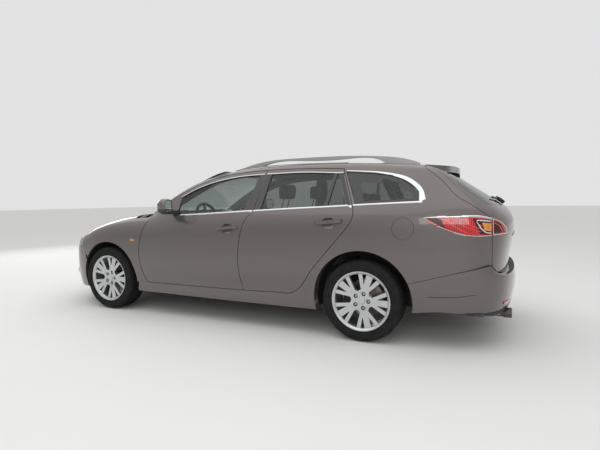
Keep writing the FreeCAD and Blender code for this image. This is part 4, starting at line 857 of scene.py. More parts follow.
class CAR_OT_front_lamps(bpy.types.Operator):
    """Fill the headlamps, the fog lamp pockets and the side repeaters"""
    bl_idname = "estate.front_lamps"
    bl_label = "Front lamps"

    def execute(self, context):
        lamp = cast_front(tree_of("headlamps"))
        bumper = cast_front(tree_of("front_bumper"))
        for side, sign in SIDES:
            lamp_eye("low_beam_" + side, sign * 0.665, 0.692, 0.042, lamp)
            lamp_eye("high_beam_" + side, sign * 0.555, 0.69, 0.036, lamp)
            brow = mirror_points(((0.46, 0.718), (0.58, 0.742), (0.68, 0.752), (0.75, 0.748)), sign)
            band("lamp_lid_" + side, brow, [(u, v - 0.007) for u, v in brow], lamp, "lamp_silver", "body",
                 0.002, 0.001)
            corners = [bumper(u, v, 0.0) for u, v in mirror_points(FOG_CORNERS, sign)]
            middle = sum(corners[:-1], Vector()) / 4
            bm = fog_pocket(corners, middle)
            add_piece(bm, "fog_pocket_" + side, "black_trim", "body", 40.0)
            bm = bmesh.new()
            centre = middle + Vector((-0.008, 0, 0))
            section = [centre + Vector((x, 0, r)) for r, x in FOG_LAMP]
            spin_profile(bm, centre, section, (1, 0, 0), 40)
            add_piece(bm, "fog_lamp_" + side, "lamp_reflector", "body", 40.0)
            wing = cast_side(tree_of("wings"), sign)
            band("repeater_" + side, circle(1.089, 0.7325, 0.028, 0.42), circle(1.089, 0.7325, 0.002, 0.42),
                 wing, "lamp_amber", "body", 0.0035, 0.002, 32, 3)
        return {"FINISHED"}


# The cowl's edge at the foot of the windscreen, x and y
COWL_EDGE = (
    (1.012, -0.67), (1.03, -0.62), (1.062, -0.55), (1.102, -0.4), (1.143, -0.2), (1.163, 0.0),
    (1.143, 0.2), (1.102, 0.4), (1.062, 0.55), (1.03, 0.62), (1.012, 0.67),
)
# The front wipers, x and y: blade and arm
WIPERS = (
    ("left", ((1.085, 0.03), (1.052, 0.33), (0.965, 0.6)),
     ((1.128, 0.42), (1.085, 0.4), (1.03, 0.33))),
    ("right", ((1.085, -0.02), (1.062, -0.28), (0.985, -0.56)),
     ((1.15, -0.12), (1.11, -0.17), (1.05, -0.28))),
)
# Sheets at the cowl's ends and the headlamps' rear corners: x on the bonnet, x and y of the other edge
COWL_END = (
    (1.19, 1.15, 1.1, 1.06, 1.03),
    ((1.19, 0.694), (1.145, 0.71), (1.122, 0.765), (1.08, 0.8), (1.03, 0.8)),
)
WING_TIP = (
    (2.09, 2.06, 2.03, 1.987),
    ((2.09, 0.62), (2.06, 0.647), (2.03, 0.676), (1.987, 0.72)),
)
# Sheets between wing and bumper: x and z on the wing, and on the bumper
WING_CORNER = (
    ((1.826, 0.656), (1.82, 0.643), (1.803, 0.621), (1.792, 0.6), (1.778, 0.578), (1.764, 0.55)),
    ((1.862, 0.64), (1.85, 0.632), (1.822, 0.625), (1.814, 0.605), (1.806, 0.582), (1.799, 0.552)),
)


def bonnet_edge(bonnet, places, sign, y, edge_y, lift):
    """Points of the bonnet near its side, moved out to the line of its edge."""
    spots = [bonnet(x, sign * y, lift) for x in places]
    for spot in spots:
        spot.y = sign * edge_y
    return spots


class CAR_OT_nose(bpy.types.Operator):
    """Lay the grille's bright bars, the cowl and the wipers, and close the gaps of the nose"""
    bl_idname = "estate.nose"
    bl_label = "Nose"

    def execute(self, context):
        face = cast_front(tree_of("front_bumper", "grille"))
        frame_line = ((-0.4, 0.681), (-0.2, 0.689), (0.0, 0.692), (0.2, 0.689), (0.4, 0.681))
        band("grille_brow", frame_line, [(u, v - 0.011) for u, v in frame_line], face, "bright_strip",
             "body", 0.004, 0.003, 48)
        low_line = ((-0.338, 0.594), (0.0, 0.589), (0.338, 0.594))
        band("grille_chin", low_line, [(u, v - 0.008) for u, v in low_line], face, "bright_strip", "body",
             0.003, 0.002, 40)
        screen = cast_top(tree_of("windscreen"))
        band("cowl", COWL_EDGE, [(u - 0.042, v * 1.03) for u, v in COWL_EDGE], screen, "black_trim", "body",
             0.002, 0.0, 60, 4, 0.0015)
        bonnet = cast_top(tree_of("bonnet"))
        wings = cast_top(tree_of("wings"))
        lamps = cast_top(tree_of("headlamps"))
        up = Vector((0, 0, 1))
        for side, sign in SIDES:
            inner = bonnet_edge(bonnet, COWL_END[0], sign, 0.67, 0.69, -0.005)
            outer = [wings(x, sign * y, -0.002) for x, y in COWL_END[1]]
            bridge("cowl_end_" + side, inner, outer, up, "black_trim")
            inner = bonnet_edge(bonnet, WING_TIP[0], sign, 0.596, 0.607, -0.002)
            outer = [lamps(x, sign * y, -0.001) for x, y in WING_TIP[1]]
            bridge("wing_tip_" + side, inner, outer, up, "body_paint")
            wing = cast_side(tree_of("wings"), sign)
            bumper = cast_side(tree_of("front_bumper"), sign)
            inner = [wing(x, z, 0.0) for x, z in WING_CORNER[0]]
            outer = [bumper(x, z, 0.0) - Vector((0.003, 0, 0)) for x, z in WING_CORNER[1]]
            bridge("wing_corner_" + side, inner, outer, Vector((0, sign, 0)), "body_paint")
        for name, blade, arm in WIPERS:
            band("wiper_blade_" + name, blade, offset_line(blade, 0.011), screen, "black_trim", "body",
                 0.012, 0.004, 32, 4, 0.009)
            band("wiper_arm_" + name, arm, offset_line(arm, 0.014), screen, "black_trim", "body",
                 0.024, 0.003, 20, 4, 0.006)
        return {"FINISHED"}


# The tail pipe's trim: place of its mouth, and its section as radius and distance forward
PIPE_PLACE = Vector((-2.345, 0.48, 0.245))
PIPE_PROFILE = (
    (0.0345, 0.05), (0.0375, 0.045), (0.0385, 0.0), (0.0375, -0.008), (0.0345, -0.009), (0.033, -0.004),
    (0.0325, 0.0), (0.02, -0.0005), (0.001, -0.0005),
)


class CAR_OT_tail_trim(bpy.types.Operator):
    """Dress the tail: glass border, wiper, brake light, bright strip, valance, reflectors and tail pipe"""
    bl_idname = "estate.tail_trim"
    bl_label = "Tail trim"

    def execute(self, context):
        gate = cast_back(tree_of("tailgate"))
        glass = cast_back(tree_of("tailgate_glass"))
        bumper = cast_back(tree_of("rear_bumper"))
        foot = ((-0.688, 1.081), (-0.4, 1.063), (0.0, 1.057), (0.4, 1.063), (0.688, 1.081))
        head = ((-0.604, 1.317), (0.0, 1.329), (0.604, 1.317))
        edge = ((0.689, 1.082), (0.689, 1.15), (0.661, 1.238), (0.605, 1.316))
        band("glass_foot", foot, [(u * 0.97, v + 0.045) for u, v in foot], glass, "black_gloss", "tailgate",
             0.0008, 0.0, 48, 4, 0.0005)
        band("glass_head", head, [(u * 0.97, v - 0.04) for u, v in head], glass, "black_gloss", "tailgate",
             0.0007, 0.0, 48, 4, 0.0005)
        for side, sign in SIDES:
            line = mirror_points(edge, sign)
            band("glass_edge_" + side, line, [(u - sign * 0.036, v) for u, v in line], glass, "black_gloss",
                 "tailgate", 0.0006, 0.0, 24, 4, 0.0005)
            band("reflector_" + side, mirror_points(((0.5, 0.356), (0.64, 0.362)), sign),
                 mirror_points(((0.502, 0.334), (0.636, 0.34)), sign), bumper, "lamp_red", "body",
                 0.004, 0.0015)
            flank = cast_side(tree_of("rear_bumper"), sign)
            band("valance_side_" + side, ((-1.93, 0.246), (-2.05, 0.248), (-2.17, 0.25), (-2.26, 0.252)),
                 ((-1.93, 0.25), (-2.05, 0.268), (-2.17, 0.29), (-2.26, 0.302)), flank, "black_trim",
                 "body", 0.0015)

            def upright(u, v, lift):
                return Vector((u, sign * (0.6 + lift), v))

            wall = ((-1.715, 0.25), (-1.46, 0.25))
            band("arch_wall_" + side, wall, [(u, 0.58) for u, v in wall], upright, "arch_liner", "body",
                 0.0, 0.0, 8, 8, 0.003)
        low = ((-0.66, 0.252), (-0.56, 0.252), (0.0, 0.256), (0.56, 0.252), (0.66, 0.252))
        high = ((-0.66, 0.3), (-0.56, 0.305), (0.0, 0.312), (0.56, 0.305), (0.66, 0.3))
        band("valance", low, high, bumper, "black_trim", "body", 0.002, 0.0, 64)
        blade = ((-0.03, 1.094), (0.18, 1.098), (0.4, 1.108))
        band("rear_blade", blade, [(u, v + 0.01) for u, v in blade], glass, "black_trim", "tailgate",
             0.02, 0.004, 28, 4, 0.01)
        arm = ((0.0, 1.074), (0.1, 1.084), (0.19, 1.096))
        band("rear_arm", arm, [(u, v + 0.014) for u, v in arm], glass, "black_trim", "tailgate",
             0.032, 0.003, 20, 4, 0.008)
        band("rear_pivot", circle(0.0, 1.082, 0.02), circle(0.0, 1.082, 0.001), glass, "black_trim",
             "tailgate", 0.034, 0.004, 28, 3, 0.03)
        band("brake_light", ((-0.15, 1.347), (0.15, 1.347)), ((-0.15, 1.361), (0.15, 1.361)), gate,
             "lamp_red", "tailgate", 0.002, 0.001)
        band("gate_strip", ((-0.31, 0.838), (0.0, 0.842), (0.31, 0.838)),
             ((-0.305, 0.812), (0.0, 0.815), (0.305, 0.812)), gate, "bright_strip", "tailgate",
             0.006, 0.004, 40)
        bm = bmesh.new()
        section = [PIPE_PLACE + Vector((x, 0, r)) for r, x in PIPE_PROFILE]
        spin_profile(bm, PIPE_PLACE, section, (1, 0, 0), 48)
        pipe = add_piece(bm, "tail_pipe_trim", "exhaust_steel", "body", 40.0)
        pipe.data.materials.append(MATERIALS["black_trim"])
        # The flat disc across the mouth is black: painted shade that stands for the dark inside of the pipe
        bore_shade_x = PIPE_PLACE.x - 0.0005
        for face in pipe.data.polygons:
            if all(abs(pipe.data.vertices[i].co.x - bore_shade_x) < 0.0008 for i in face.vertices):
                face.material_index = 1
        return {"FINISHED"}


# The left mirror's glass: middle, turn towards the driver, half of its width and height
MIRROR_PLACE = Vector((0.528, 0.97, 1.07))
MIRROR_TURN = math.radians(14)
MIRROR_HALF = (0.063, 0.054)
# How squarely its outline runs: 1 is an ellipse and less is squarer
MIRROR_SQUARE = 0.62


def squared(value):
    """A sine or cosine that makes a circle's outline squarer."""
    return math.copysign(abs(value) ** MIRROR_SQUARE, value)


class CAR_OT_mirrors(bpy.types.Operator):
    """Set the glass in the door mirrors"""
    bl_idname = "estate.mirrors"
    bl_label = "Door mirrors"

    def execute(self, context):
        for side, sign in SIDES:
            NODES["mirror_" + side].data.materials[0] = MATERIALS["mirror_paint"]
            bm = bmesh.new()
            bmesh.ops.create_circle(bm, cap_ends=True, segments=48, radius=1.0)
            bmesh.ops.inset_region(bm, faces=bm.faces[:], thickness=0.08)
            bmesh.ops.inset_region(bm, faces=[f for f in bm.faces if len(f.verts) > 8], thickness=0.4)
            turn = Matrix.Rotation(MIRROR_TURN, 4, "Z")
            for vert in bm.verts:
                angle = math.atan2(vert.co.y, vert.co.x)
                reach = math.hypot(vert.co.x, vert.co.y)
                wide = squared(math.cos(angle)) * MIRROR_HALF[0] * reach
                high = squared(math.sin(angle)) * MIRROR_HALF[1] * reach
                spot = MIRROR_PLACE + turn @ Vector((0.0045 - 0.003 * (1 - reach ** 2), wide, high))
                vert.co = Vector((spot.x, sign * spot.y, spot.z))
            bmesh.ops.recalc_face_normals(bm, faces=bm.faces)
            facing_way(bm, Vector((-1, 0, 0)))
            add_piece(bm, "mirror_glass_" + side, "mirror_silver", "door_front_" + side, 50.0)
        return {"FINISHED"}


# The cloth's inner pressure and the number of frames that it is given to settle
CLOTH_PRESSURE = 4.0
CLOTH_FRAMES = 20
# A pad's curves are cut into this many steps; its seams and channels have these depths and this half width
PAD_STEPS = 40
SEAM_DEPTH = 0.006
CHANNEL_DEPTH = 0.004
SEAM_HALF = 0.006


def with_modifiers(piece):
    """A new mesh of a piece as its modifiers make it; the modifiers are taken away."""
    mesh = bpy.data.meshes.new_from_object(piece.evaluated_get(bpy.context.evaluated_depsgraph_get()))
    piece.modifiers.clear()
    return mesh


def round_off(piece):
    """Smooth a piece with one level of subdivision."""
    soft = piece.modifiers.new("round", "SUBSURF")
    soft.levels = 1
    soft.render_levels = 1


def settle(piece, cell, settings):
    """Rebuild a pad's mesh in even cells and let its cloth puff out a little."""
    cells = piece.modifiers.new("cells", "REMESH")
    cells.mode = "VOXEL"
    cells.voxel_size = cell
    rebuilt = with_modifiers(piece)
    piece.data = rebuilt
    rest = [vert.co.copy() for vert in rebuilt.vertices]
    cloth = piece.modifiers.new("cloth", "CLOTH")
    cloth.settings.use_pressure = True
    cloth.settings.uniform_pressure_force = CLOTH_PRESSURE
    cloth.settings.effector_weights.gravity = 0.0
    for step in range(1, CLOTH_FRAMES + 1):
        bpy.context.scene.frame_set(step)
    puffed = with_modifiers(piece)
    for vert, old in zip(puffed.vertices, rest):
        move = vert.co - old
        if move.length > settings.swell:
            vert.co = old + move.normalized() * settings.swell
    piece.data = puffed
    bpy.context.scene.frame_set(1)


def pad_mesh(settings, name, under, over, half, middle_y, bolster, taper, seams, channels, coarse):
    """A cushion between a lower and an upper curve x, z, puffed as cloth, with seams and channels."""
    bm = bmesh.new()
    bmesh.ops.create_cube(bm, size=1.0)
    bmesh.ops.subdivide_edges(bm, edges=bm.edges[:], cuts=15, use_grid_fill=True)
    low, high = along(under, PAD_STEPS), along(over, PAD_STEPS)
    for vert in bm.verts:
        u, v, w = vert.co.x * 2, vert.co.y + 0.5, vert.co.z + 0.5
        place = min(int(v * PAD_STEPS), PAD_STEPS - 1)
        share = v * PAD_STEPS - place
        a, b = low[place].lerp(low[place + 1], share), high[place].lerp(high[place + 1], share)
        up = (b - a).normalized()
        rise = clamp((abs(u) - 0.6) / 0.22)
        spot = a.lerp(b, w) + up * bolster * w * rise * rise * (3 - 2 * rise)
        across = half * (1 - taper * v * v) * (1 - 0.03 * math.sin(math.pi * v))
        crown = 0.012 * (1 - u * u) * math.sin(math.pi * v) * (w - 0.3)
        vert.co = Vector((spot.x + up.x * crown, middle_y + u * across, spot.y + up.y * crown))
    bmesh.ops.recalc_face_normals(bm, faces=bm.faces)
    mesh = bpy.data.meshes.new(name)
    bm.to_mesh(mesh)
    bm.free()
    piece = new_object(name, mesh)
    settle(piece, settings.voxel * coarse, settings)
    bm = bmesh.new()
    bm.from_mesh(piece.data)
    bm.normal_update()
    bmesh.ops.smooth_vert(bm, verts=bm.verts, factor=0.5, use_axis_x=True, use_axis_y=True,
                          use_axis_z=True)
    through = (high[PAD_STEPS // 2] - low[PAD_STEPS // 2]).normalized()
    facing = Vector((through.x, 0, through.y))
    origin = Vector((low[0].x, 0, low[0].y))
    run = (Vector((low[-1].x, 0, low[-1].y)) - origin).normalized()
    length = (low[-1] - low[0]).length
    moves = []
    for vert in bm.verts:
        shown = clamp((vert.normal.dot(facing) - 0.1) / 0.4)
        v = (vert.co - origin).dot(run) / length
        depth = 0.0
        for seam in seams:
            near = (abs(vert.co.y - middle_y) - seam) / SEAM_HALF
            depth += SEAM_DEPTH * math.exp(-near * near)
        for start in channels:
            near = (v - start) * length / SEAM_HALF
            if not seams or abs(vert.co.y - middle_y) < seams[0]:
                depth += CHANNEL_DEPTH * math.exp(-near * near)
        moves.append(-vert.normal * depth * shown)
    for vert, move in zip(bm.verts, moves):
        vert.co += move
    bm.to_mesh(piece.data)
    bm.free()
    piece.data.shade_smooth()
    piece.data.materials.clear()
    piece.data.materials.append(MATERIALS["seat_cloth"])
    round_off(piece)
    return piece


def place_pad(piece, node):
    """Let a pad ride on the body and hide the node that it replaces."""
    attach(piece, "body")
    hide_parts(node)


def twin(piece, name, offset=None):
    """A copy of a pad, moved across the car or mirrored to its other side."""
    mesh = piece.data.copy()
    bm = bmesh.new()
    bm.from_mesh(mesh)
    for vert in bm.verts:
        vert.co.y = -vert.co.y if offset is None else vert.co.y + offset
    if offset is None:
        bmesh.ops.reverse_faces(bm, faces=bm.faces)
    bm.to_mesh(mesh)
    bm.free()
    copy = new_object(name, mesh)
    round_off(copy)
    return copy


def plinth(name, low, high, replaces):
    """A rounded block that carries a seat."""
    add_piece(rounded_block(low, high, 0.012, 3), name, "black_trim", "body", 40.0, replaces)


# The pads: lower and upper curve x, z, half width and middle y; bolster, taper, seams, channels, coarseness
FRONT_PADS = (
    ("seat_cushion_left", ((-0.085, 0.35), (0.25, 0.35), (0.54, 0.375)),
     ((-0.08, 0.49), (0.2, 0.495), (0.45, 0.52), (0.55, 0.5)), 0.235, 0.365,
     0.022, 0.03, (0.15,), (0.35, 0.62, 0.86), 1.6),
    ("seat_back_left", ((-0.18, 0.5), (-0.31, 0.8), (-0.4, 1.045)),
     ((-0.1, 0.52), (-0.215, 0.8), (-0.325, 1.04)), 0.232, 0.365,
     0.028, 0.12, (0.148,), (0.2, 0.42, 0.62, 0.8), 1.6),
    ("headrest_left", ((-0.425, 1.128), (-0.448, 1.2), (-0.435, 1.262)),
     ((-0.372, 1.128), (-0.362, 1.2), (-0.378, 1.262)), 0.115, 0.365,
     0.0, 0.12, (), (), 1.0),
)
REAR_PADS = (
    ("rear_cushion", ((-0.85, 0.335), (-0.65, 0.335), (-0.42, 0.35)),
     ((-0.85, 0.49), (-0.65, 0.495), (-0.42, 0.525)), 0.6, 0.0,
     0.0, 0.0, (0.19,), (0.3, 0.6, 0.85), 2.0),
    ("rear_back", ((-0.905, 0.51), (-0.99, 0.75), (-1.055, 0.985)),
     ((-0.85, 0.53), (-0.905, 0.75), (-0.975, 0.99)), 0.61, 0.0,
     0.0, 0.03, (0.19,), (0.25, 0.5, 0.75), 2.0),
    ("rear_headrest_left", ((-1.078, 1.052), (-1.092, 1.11), (-1.085, 1.172)),
     ((-1.022, 1.052), (-1.012, 1.11), (-1.03, 1.172)), 0.1, 0.4,
     0.0, 0.12, (), (), 1.0),
)


class CAR_OT_seats(bpy.types.Operator):
    """Sew the seats' cushions, backs and headrests, and stand them on their plinths"""
    bl_idname = "estate.seats"
    bl_label = "Seats"

    def execute(self, context):
        settings = context.scene.estate_cabin
        front = [pad_mesh(settings, *pad) for pad in FRONT_PADS]
        rear = [pad_mesh(settings, *pad) for pad in REAR_PADS]
        for piece in front:
            place_pad(piece, "front_seats")
            place_pad(twin(piece, piece.name.replace("left", "right")), "front_seats")
        for piece in rear:
            place_pad(piece, "rear_seat")
        place_pad(twin(rear[-1], "rear_headrest_right"), "rear_seat")
        place_pad(twin(rear[-1], "rear_headrest_middle", -0.4), "rear_seat")
        for side, sign in SIDES:
            y0, y1 = sorted((sign * 0.16, sign * 0.575))
            plinth("seat_plinth_" + side, (-0.07, y0, 0.2433), (0.5, y1, 0.352), ["front_seats"])
            bm = bmesh.new()
            for offset in (-0.06, 0.06):
                start = Vector((-0.36, sign * 0.365 + offset, 1.02))
                end = Vector((-0.4, sign * 0.365 + offset, 1.15))
                turn = (end - start).to_track_quat("Z", "Y").to_matrix().to_4x4()
                bmesh.ops.create_cone(bm, cap_ends=True, segments=16, radius1=0.0065, radius2=0.0065,
                                      depth=(end - start).length,
                                      matrix=Matrix.Translation((start + end) / 2) @ turn)
            add_piece(bm, "headrest_posts_" + side, "rail_silver", "body", 40.0, ["front_seats"])
        plinth("rear_seat_plinth", (-0.87, -0.6, 0.2433), (-0.45, 0.6, 0.345), ["rear_seat"])
        return {"FINISHED"}


# Door cards: front and rear x of the foot, front and rear x of the top, foot z and top z
DOOR_CARDS = {
    "front": (0.83, -0.12, 0.83, -0.16, 0.395, 0.925),
    "rear": (-0.27, -0.66, -0.29, -1.06, 0.395, 0.925),
}
# How far a door card is from the middle plane, and how much it swells inwards
CARD_Y = 0.7145
CARD_SWELL = 0.008
# A door's armrest: height, half of its thickness, and depth
ARMREST = (0.68, 0.028, 0.042)
# The dials' places across the dashboard, their height, and the dashboard's vents
DIALS = (0.29, 0.44)
DIAL_Z = 0.942
VENTS = (-0.62, -0.16, 0.16, 0.62)
# The gear lever with its gaiter, from the foot up: radius and height
LEVER_FOOT = Vector((0.42, 0.0, 0.62))
LEVER_PROFILE = (
    (0.062, 0.0), (0.055, 0.006), (0.036, 0.03), (0.016, 0.055), (0.009, 0.07), (0.009, 0.1), (0.02, 0.108),
    (0.026, 0.125), (0.024, 0.142), (0.012, 0.15), (0.0005, 0.151),
)
# The steering column's way towards the driver, the steering wheel's middle, and the horn pad's section
COLUMN_WAY = Vector((-0.155, 0, 0.065)).normalized()
HORN_MIDDLE = Vector((0.545, 0.365, 0.915))
HORN_PROFILE = ((0.078, 0.0), (0.076, 0.012), (0.066, 0.02), (0.04, 0.025), (0.0005, 0.027))


class CAR_OT_cabin(bpy.types.Operator):
    """Hang the door cards and dress the dashboard, the console and the steering wheel"""
    bl_idname = "estate.cabin"
    bl_label = "Cabin"

    def execute(self, context):
        for side, sign in SIDES:
            for place, (foot0, foot1, top0, top1, low, high) in DOOR_CARDS.items():
                rear_end, front_end = max(foot1, top1), min(foot0, top0)

                def card(u, v, lift):
                    rest_z, rest_half, rest_depth = ARMREST
                    ledge = math.exp(-((v - rest_z) / rest_half) ** 2)
                    reach = clamp((u - rear_end - 0.05) / 0.08) * clamp((front_end - 0.1 - u) / 0.1)
                    swell = CARD_SWELL * math.sin(math.pi * clamp((v - low) / (high - low)))
                    return Vector((u, sign * (CARD_Y - lift - rest_depth * ledge * reach - swell), v))

                band("door_card_%s_%s" % (place, side), ((foot0, low), (foot1, low)),
                     ((top0, high), (top1, high)), card, "dash_grain", "door_%s_%s" % (place, side),
                     0.003, 0.0, 40, 36)
        dash = cast_back(tree_of("dashboard"))
        for number, y in enumerate(DIALS):
            rim, face, pin = [circle(y, DIAL_Z, radius, 0.8) for radius in (0.045, 0.036, 0.001)]
            band("dial_%d" % number, rim, face, dash, "bright_strip", "body", 0.002, 0.001, 40,
                 3)
            band("dial_face_%d" % number, face, pin, dash, "black_gloss", "body", 0.001, 0.0,
                 40, 3)
        band("screen", ((-0.09, 0.915), (0.09, 0.915)), ((-0.09, 0.945), (0.09, 0.945)), dash,
             "black_gloss", "body", 0.002)
        for number, y in enumerate(VENTS):
            for row in range(4):
                z = 0.85 - row * 0.012
                band("vent_%d_%d" % (number, row), ((y - 0.045, z), (y + 0.045, z)),
                     ((y - 0.045, z - 0.006), (y + 0.045, z - 0.006)), dash, "black_gloss", "body",
                     0.004, 0.001, 8, 2)
        bm = bmesh.new()
        section = [LEVER_FOOT + Vector((r, 0, z)) for r, z in LEVER_PROFILE]
        spin_profile(bm, LEVER_FOOT, section, (0, 0, 1), 32)
        add_piece(bm, "gear_lever", "wheel_leather", "body", 40.0)
        bm = bmesh.new()
        centre = HORN_MIDDLE + COLUMN_WAY * 0.034
        section = [centre + Vector((0, r, 0)) + COLUMN_WAY * h for r, h in HORN_PROFILE]
        spin_profile(bm, centre, section, COLUMN_WAY, 40)
        add_piece(bm, "horn_pad", "wheel_leather", "steering_wheel", 40.0)
        return {"FINISHED"}


# The oil cap's section: radius and height
OIL_CAP = (
    (0.034, 0.0), (0.033, 0.014), (0.03, 0.018), (0.014, 0.018), (0.012, 0.03), (0.008, 0.032),
    (0.0005, 0.032),
)


class CAR_OT_engine(bpy.types.Operator):
    """Dress the engine block with its cover, inlet pipes, oil cap, ribs and bolts"""
    bl_idname = "estate.engine"
    bl_label = "Engine"

    def execute(self, context):
        low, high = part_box("engine")
        size = high - low
        cover_low = Vector((low.x + size.x * 0.16, low.y + size.y * 0.1, high.z - 0.012))
        cover_high = Vector((high.x - size.x * 0.2, high.y - size.y * 0.14, high.z + 0.034))
        bm = rounded_block(cover_low, cover_high, 0.016)
        top = [f for f in bm.faces if f.normal.z > 0.99]
        bmesh.ops.inset_region(bm, faces=top, thickness=0.022)
        panel = max((f for f in bm.faces if f.normal.z > 0.99), key=lambda f: f.calc_area())
        bmesh.ops.inset_region(bm, faces=[panel], thickness=0.004, depth=-0.006)
        add_piece(bm, "engine_cover", "black_trim", "body")
        for k in range(4):
            y = cover_low.y + (cover_high.y - cover_low.y) * (0.14 + 0.24 * k)
            rib_low = (cover_low.x + 0.04, y - 0.012, high.z + 0.024)
            rib_high = (cover_high.x - 0.04, y + 0.012, high.z + 0.037)
            add_piece(rounded_block(rib_low, rib_high, 0.005, 3), "cover_rib_%d" % k, "dash_grain", "body")
            bm = bmesh.new()
            bend = Vector((high.x - 0.06, y, high.z - 0.06))
            mouth = Matrix.Translation(bend + Vector((0, 0, 0.075))) @ Matrix.Rotation(math.pi / 2, 4, "Y")
            made = bmesh.ops.create_circle(bm, cap_ends=False, segments=20, radius=0.021, matrix=mouth)
            ring = made["verts"]
            loop = ring + list({e for v in ring for e in v.link_edges})
            bmesh.ops.spin(bm, geom=loop, cent=bend, axis=(0, 1, 0), angle=math.radians(118), steps=16)
            bmesh.ops.recalc_face_normals(bm, faces=bm.faces)
            bmesh.ops.holes_fill(bm, edges=bm.edges[:], sides=24)
            add_piece(bm, "inlet_pipe_%d" % k, "engine_alloy", "body", 40.0)
        bm = bmesh.new()
        centre = Vector((cover_low.x + 0.075, cover_low.y + 0.06, high.z + 0.028))
        section = [centre + Vector((r, 0, z)) for r, z in OIL_CAP]
        spin_profile(bm, centre, section, (0, 0, 1), 32)
        add_piece(bm, "oil_cap", "black_gloss", "body", 40.0)
        for k in range(5):
            z = low.z + size.z * (0.2 + 0.13 * k)
            rib_low = (high.x - 0.006, low.y + 0.03, z - 0.006)
            rib_high = (high.x + 0.012, high.y - 0.03, z + 0.006)
            add_piece(rounded_block(rib_low, rib_high, 0.004, 2), "block_rib_%d" % k, "engine_alloy",
                      "body")
        bm = bmesh.new()
        for k in range(8):
            row, place = divmod(k, 4)
            x = low.x + size.x * (0.08 + 0.84 * row)
            y = low.y + size.y * (0.1 + 0.265 * place)
            bmesh.ops.create_cone(bm, cap_ends=True, segments=6, radius1=0.009, radius2=0.0085, depth=0.012,
                                  matrix=Matrix.Translation((x, y, high.z + 0.004)))
        add_piece(bm, "head_bolts", "nut_steel", "body")
        return {"FINISHED"}


# Area lights: place, the point each looks at, width and height, and power
LIGHTS = (
    ("top", (0.5, 0.5, 5.2), (0, 0, 0.6), (11.0, 8.0), 150.0),
    ("left", (-3.0, 6.5, 2.6), (0, 0, 0.7), (3.6, 1.6), 50.0),
    ("nose", (7.5, -2.5, 3.0), (0, 0, 0.7), (3.0, 2.0), 60.0),
)
# Where the photograph was taken from, and the camera's yaw, pitch and roll there
CAMERA_PLACE = (-2.259, 4.08, 1.122)
CAMERA_YAW = math.radians(24.95)
CAMERA_PITCH = math.radians(-3.39)
CAMERA_ROLL = 0.01


def make_world(scene):
    """An even grey sky that is brighter above, and a pale one where the camera sees it."""
    world = bpy.data.worlds.new("studio")
    scene.world = world
    world.use_nodes = True
    back = world.node_tree.nodes["Background"]
    place = add_node(world, "ShaderNodeTexCoord")
    split = add_node(world, "ShaderNodeSeparateXYZ")
    sky = add_node(world, "ShaderNodeValToRGB")
    sky.color_ramp.elements[0].position = 0.45
    sky.color_ramp.elements[0].color = (0.5, 0.5, 0.5, 1)
    sky.color_ramp.elements[1].position = 0.9
    sky.color_ramp.elements[1].color = (1.0, 1.0, 1.0, 1)
    lift = value_range(world, -1.0, 1.0, 0.0, 1.0)
    rays = add_node(world, "ShaderNodeLightPath")
    mix = add_node(world, "ShaderNodeMix", data_type="RGBA")
    mix.inputs["B"].default_value = (0.9, 0.9, 0.9, 1)
    link(world, place, "Generated", split, "Vector")
    link(world, split, "Z", lift, "Value")
    link(world, lift, "Result", sky, "Fac")
    link(world, sky, "Color", mix, "A")
    link(world, rays, "Is Camera Ray", mix, "Factor")
    link(world, mix, "Result", back, "Color")
    back.inputs["Strength"].default_value = 0.85


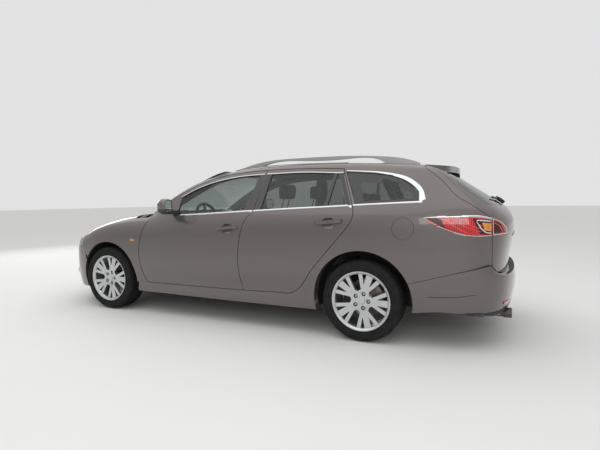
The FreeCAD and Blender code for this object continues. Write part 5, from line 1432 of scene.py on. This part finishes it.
class CAR_OT_stage(bpy.types.Operator):
    """Lay the floor, hang the lights and stand the camera where the photograph was taken"""
    bl_idname = "estate.stage"
    bl_label = "Stage"

    def execute(self, context):
        settings = context.scene.estate_stage
        floor_look = material("floor", settings.floor, 0.0, 0.9)
        vary(floor_look, shade(settings.floor, 0.985), settings.floor, 1.5)
        bm = bmesh.new()
        bmesh.ops.create_grid(bm, x_segments=1, y_segments=1, size=60.0)
        mesh = bpy.data.meshes.new("floor")
        bm.to_mesh(mesh)
        bm.free()
        mesh.materials.append(floor_look)
        new_object("floor", mesh)
        make_world(context.scene)
        for name, spot, target, size, power in LIGHTS:
            data = bpy.data.lights.new(name, "AREA")
            data.shape = "RECTANGLE"
            data.size, data.size_y = size
            data.energy = power
            lamp = new_object(name, data)
            lamp.location = spot
            lamp.rotation_euler = (Vector(target) - Vector(spot)).to_track_quat("-Z", "Y").to_euler()
        camera = bpy.data.cameras.new("camera")
        camera.lens = settings.lens
        camera.sensor_width = 36.0
        camera.clip_end = 200.0
        viewer = new_object("camera", camera)
        level = math.cos(CAMERA_PITCH)
        look = Vector((math.sin(CAMERA_YAW) * level, -math.cos(CAMERA_YAW) * level, math.sin(CAMERA_PITCH)))
        viewer.location = CAMERA_PLACE
        viewer.rotation_mode = "QUATERNION"
        roll = Matrix.Rotation(-CAMERA_ROLL, 4, "Z").to_quaternion()
        viewer.rotation_quaternion = look.to_track_quat("-Z", "Y") @ roll
        context.scene.camera = viewer
        context.scene.view_settings.view_transform = "Standard"
        return {"FINISHED"}


OPERATORS = (
    CAR_OT_materials, CAR_OT_tyres, CAR_OT_wheel_centres, CAR_OT_window_trim, CAR_OT_tail_lamps,
    CAR_OT_front_lamps, CAR_OT_nose, CAR_OT_tail_trim, CAR_OT_mirrors, CAR_OT_seats, CAR_OT_cabin,
    CAR_OT_engine, CAR_OT_stage,
)
SETTINGS = (
    ("estate_body", BodySettings), ("estate_wheels", WheelSettings), ("estate_cabin", CabinSettings),
    ("estate_stage", StageSettings),
)


class CAR_PT_panel(bpy.types.Panel):
    """The car's steps, in their order"""
    bl_idname = "CAR_PT_panel"
    bl_label = "Estate car"
    bl_space_type = "VIEW_3D"
    bl_region_type = "UI"
    bl_category = "Estate car"

    def draw(self, context):
        for operator in OPERATORS:
            self.layout.operator(operator.bl_idname)


def register():
    """Register the settings, the operators and the panel."""
    for name, group in SETTINGS:
        bpy.utils.register_class(group)
        setattr(bpy.types.Scene, name, bpy.props.PointerProperty(type=group))
    for operator in OPERATORS:
        bpy.utils.register_class(operator)
    bpy.utils.register_class(CAR_PT_panel)


def unregister():
    """Take the panel, the operators and the settings away again."""
    bpy.utils.unregister_class(CAR_PT_panel)
    for operator in reversed(OPERATORS):
        bpy.utils.unregister_class(operator)
    for name, group in reversed(SETTINGS):
        delattr(bpy.types.Scene, name)
        bpy.utils.unregister_class(group)


def main():
    """Run every step in its order."""
    register()
    for operator in OPERATORS:
        group, name = operator.bl_idname.split(".")
        getattr(getattr(bpy.ops, group), name)()


if __name__ == "__main__":
    main()
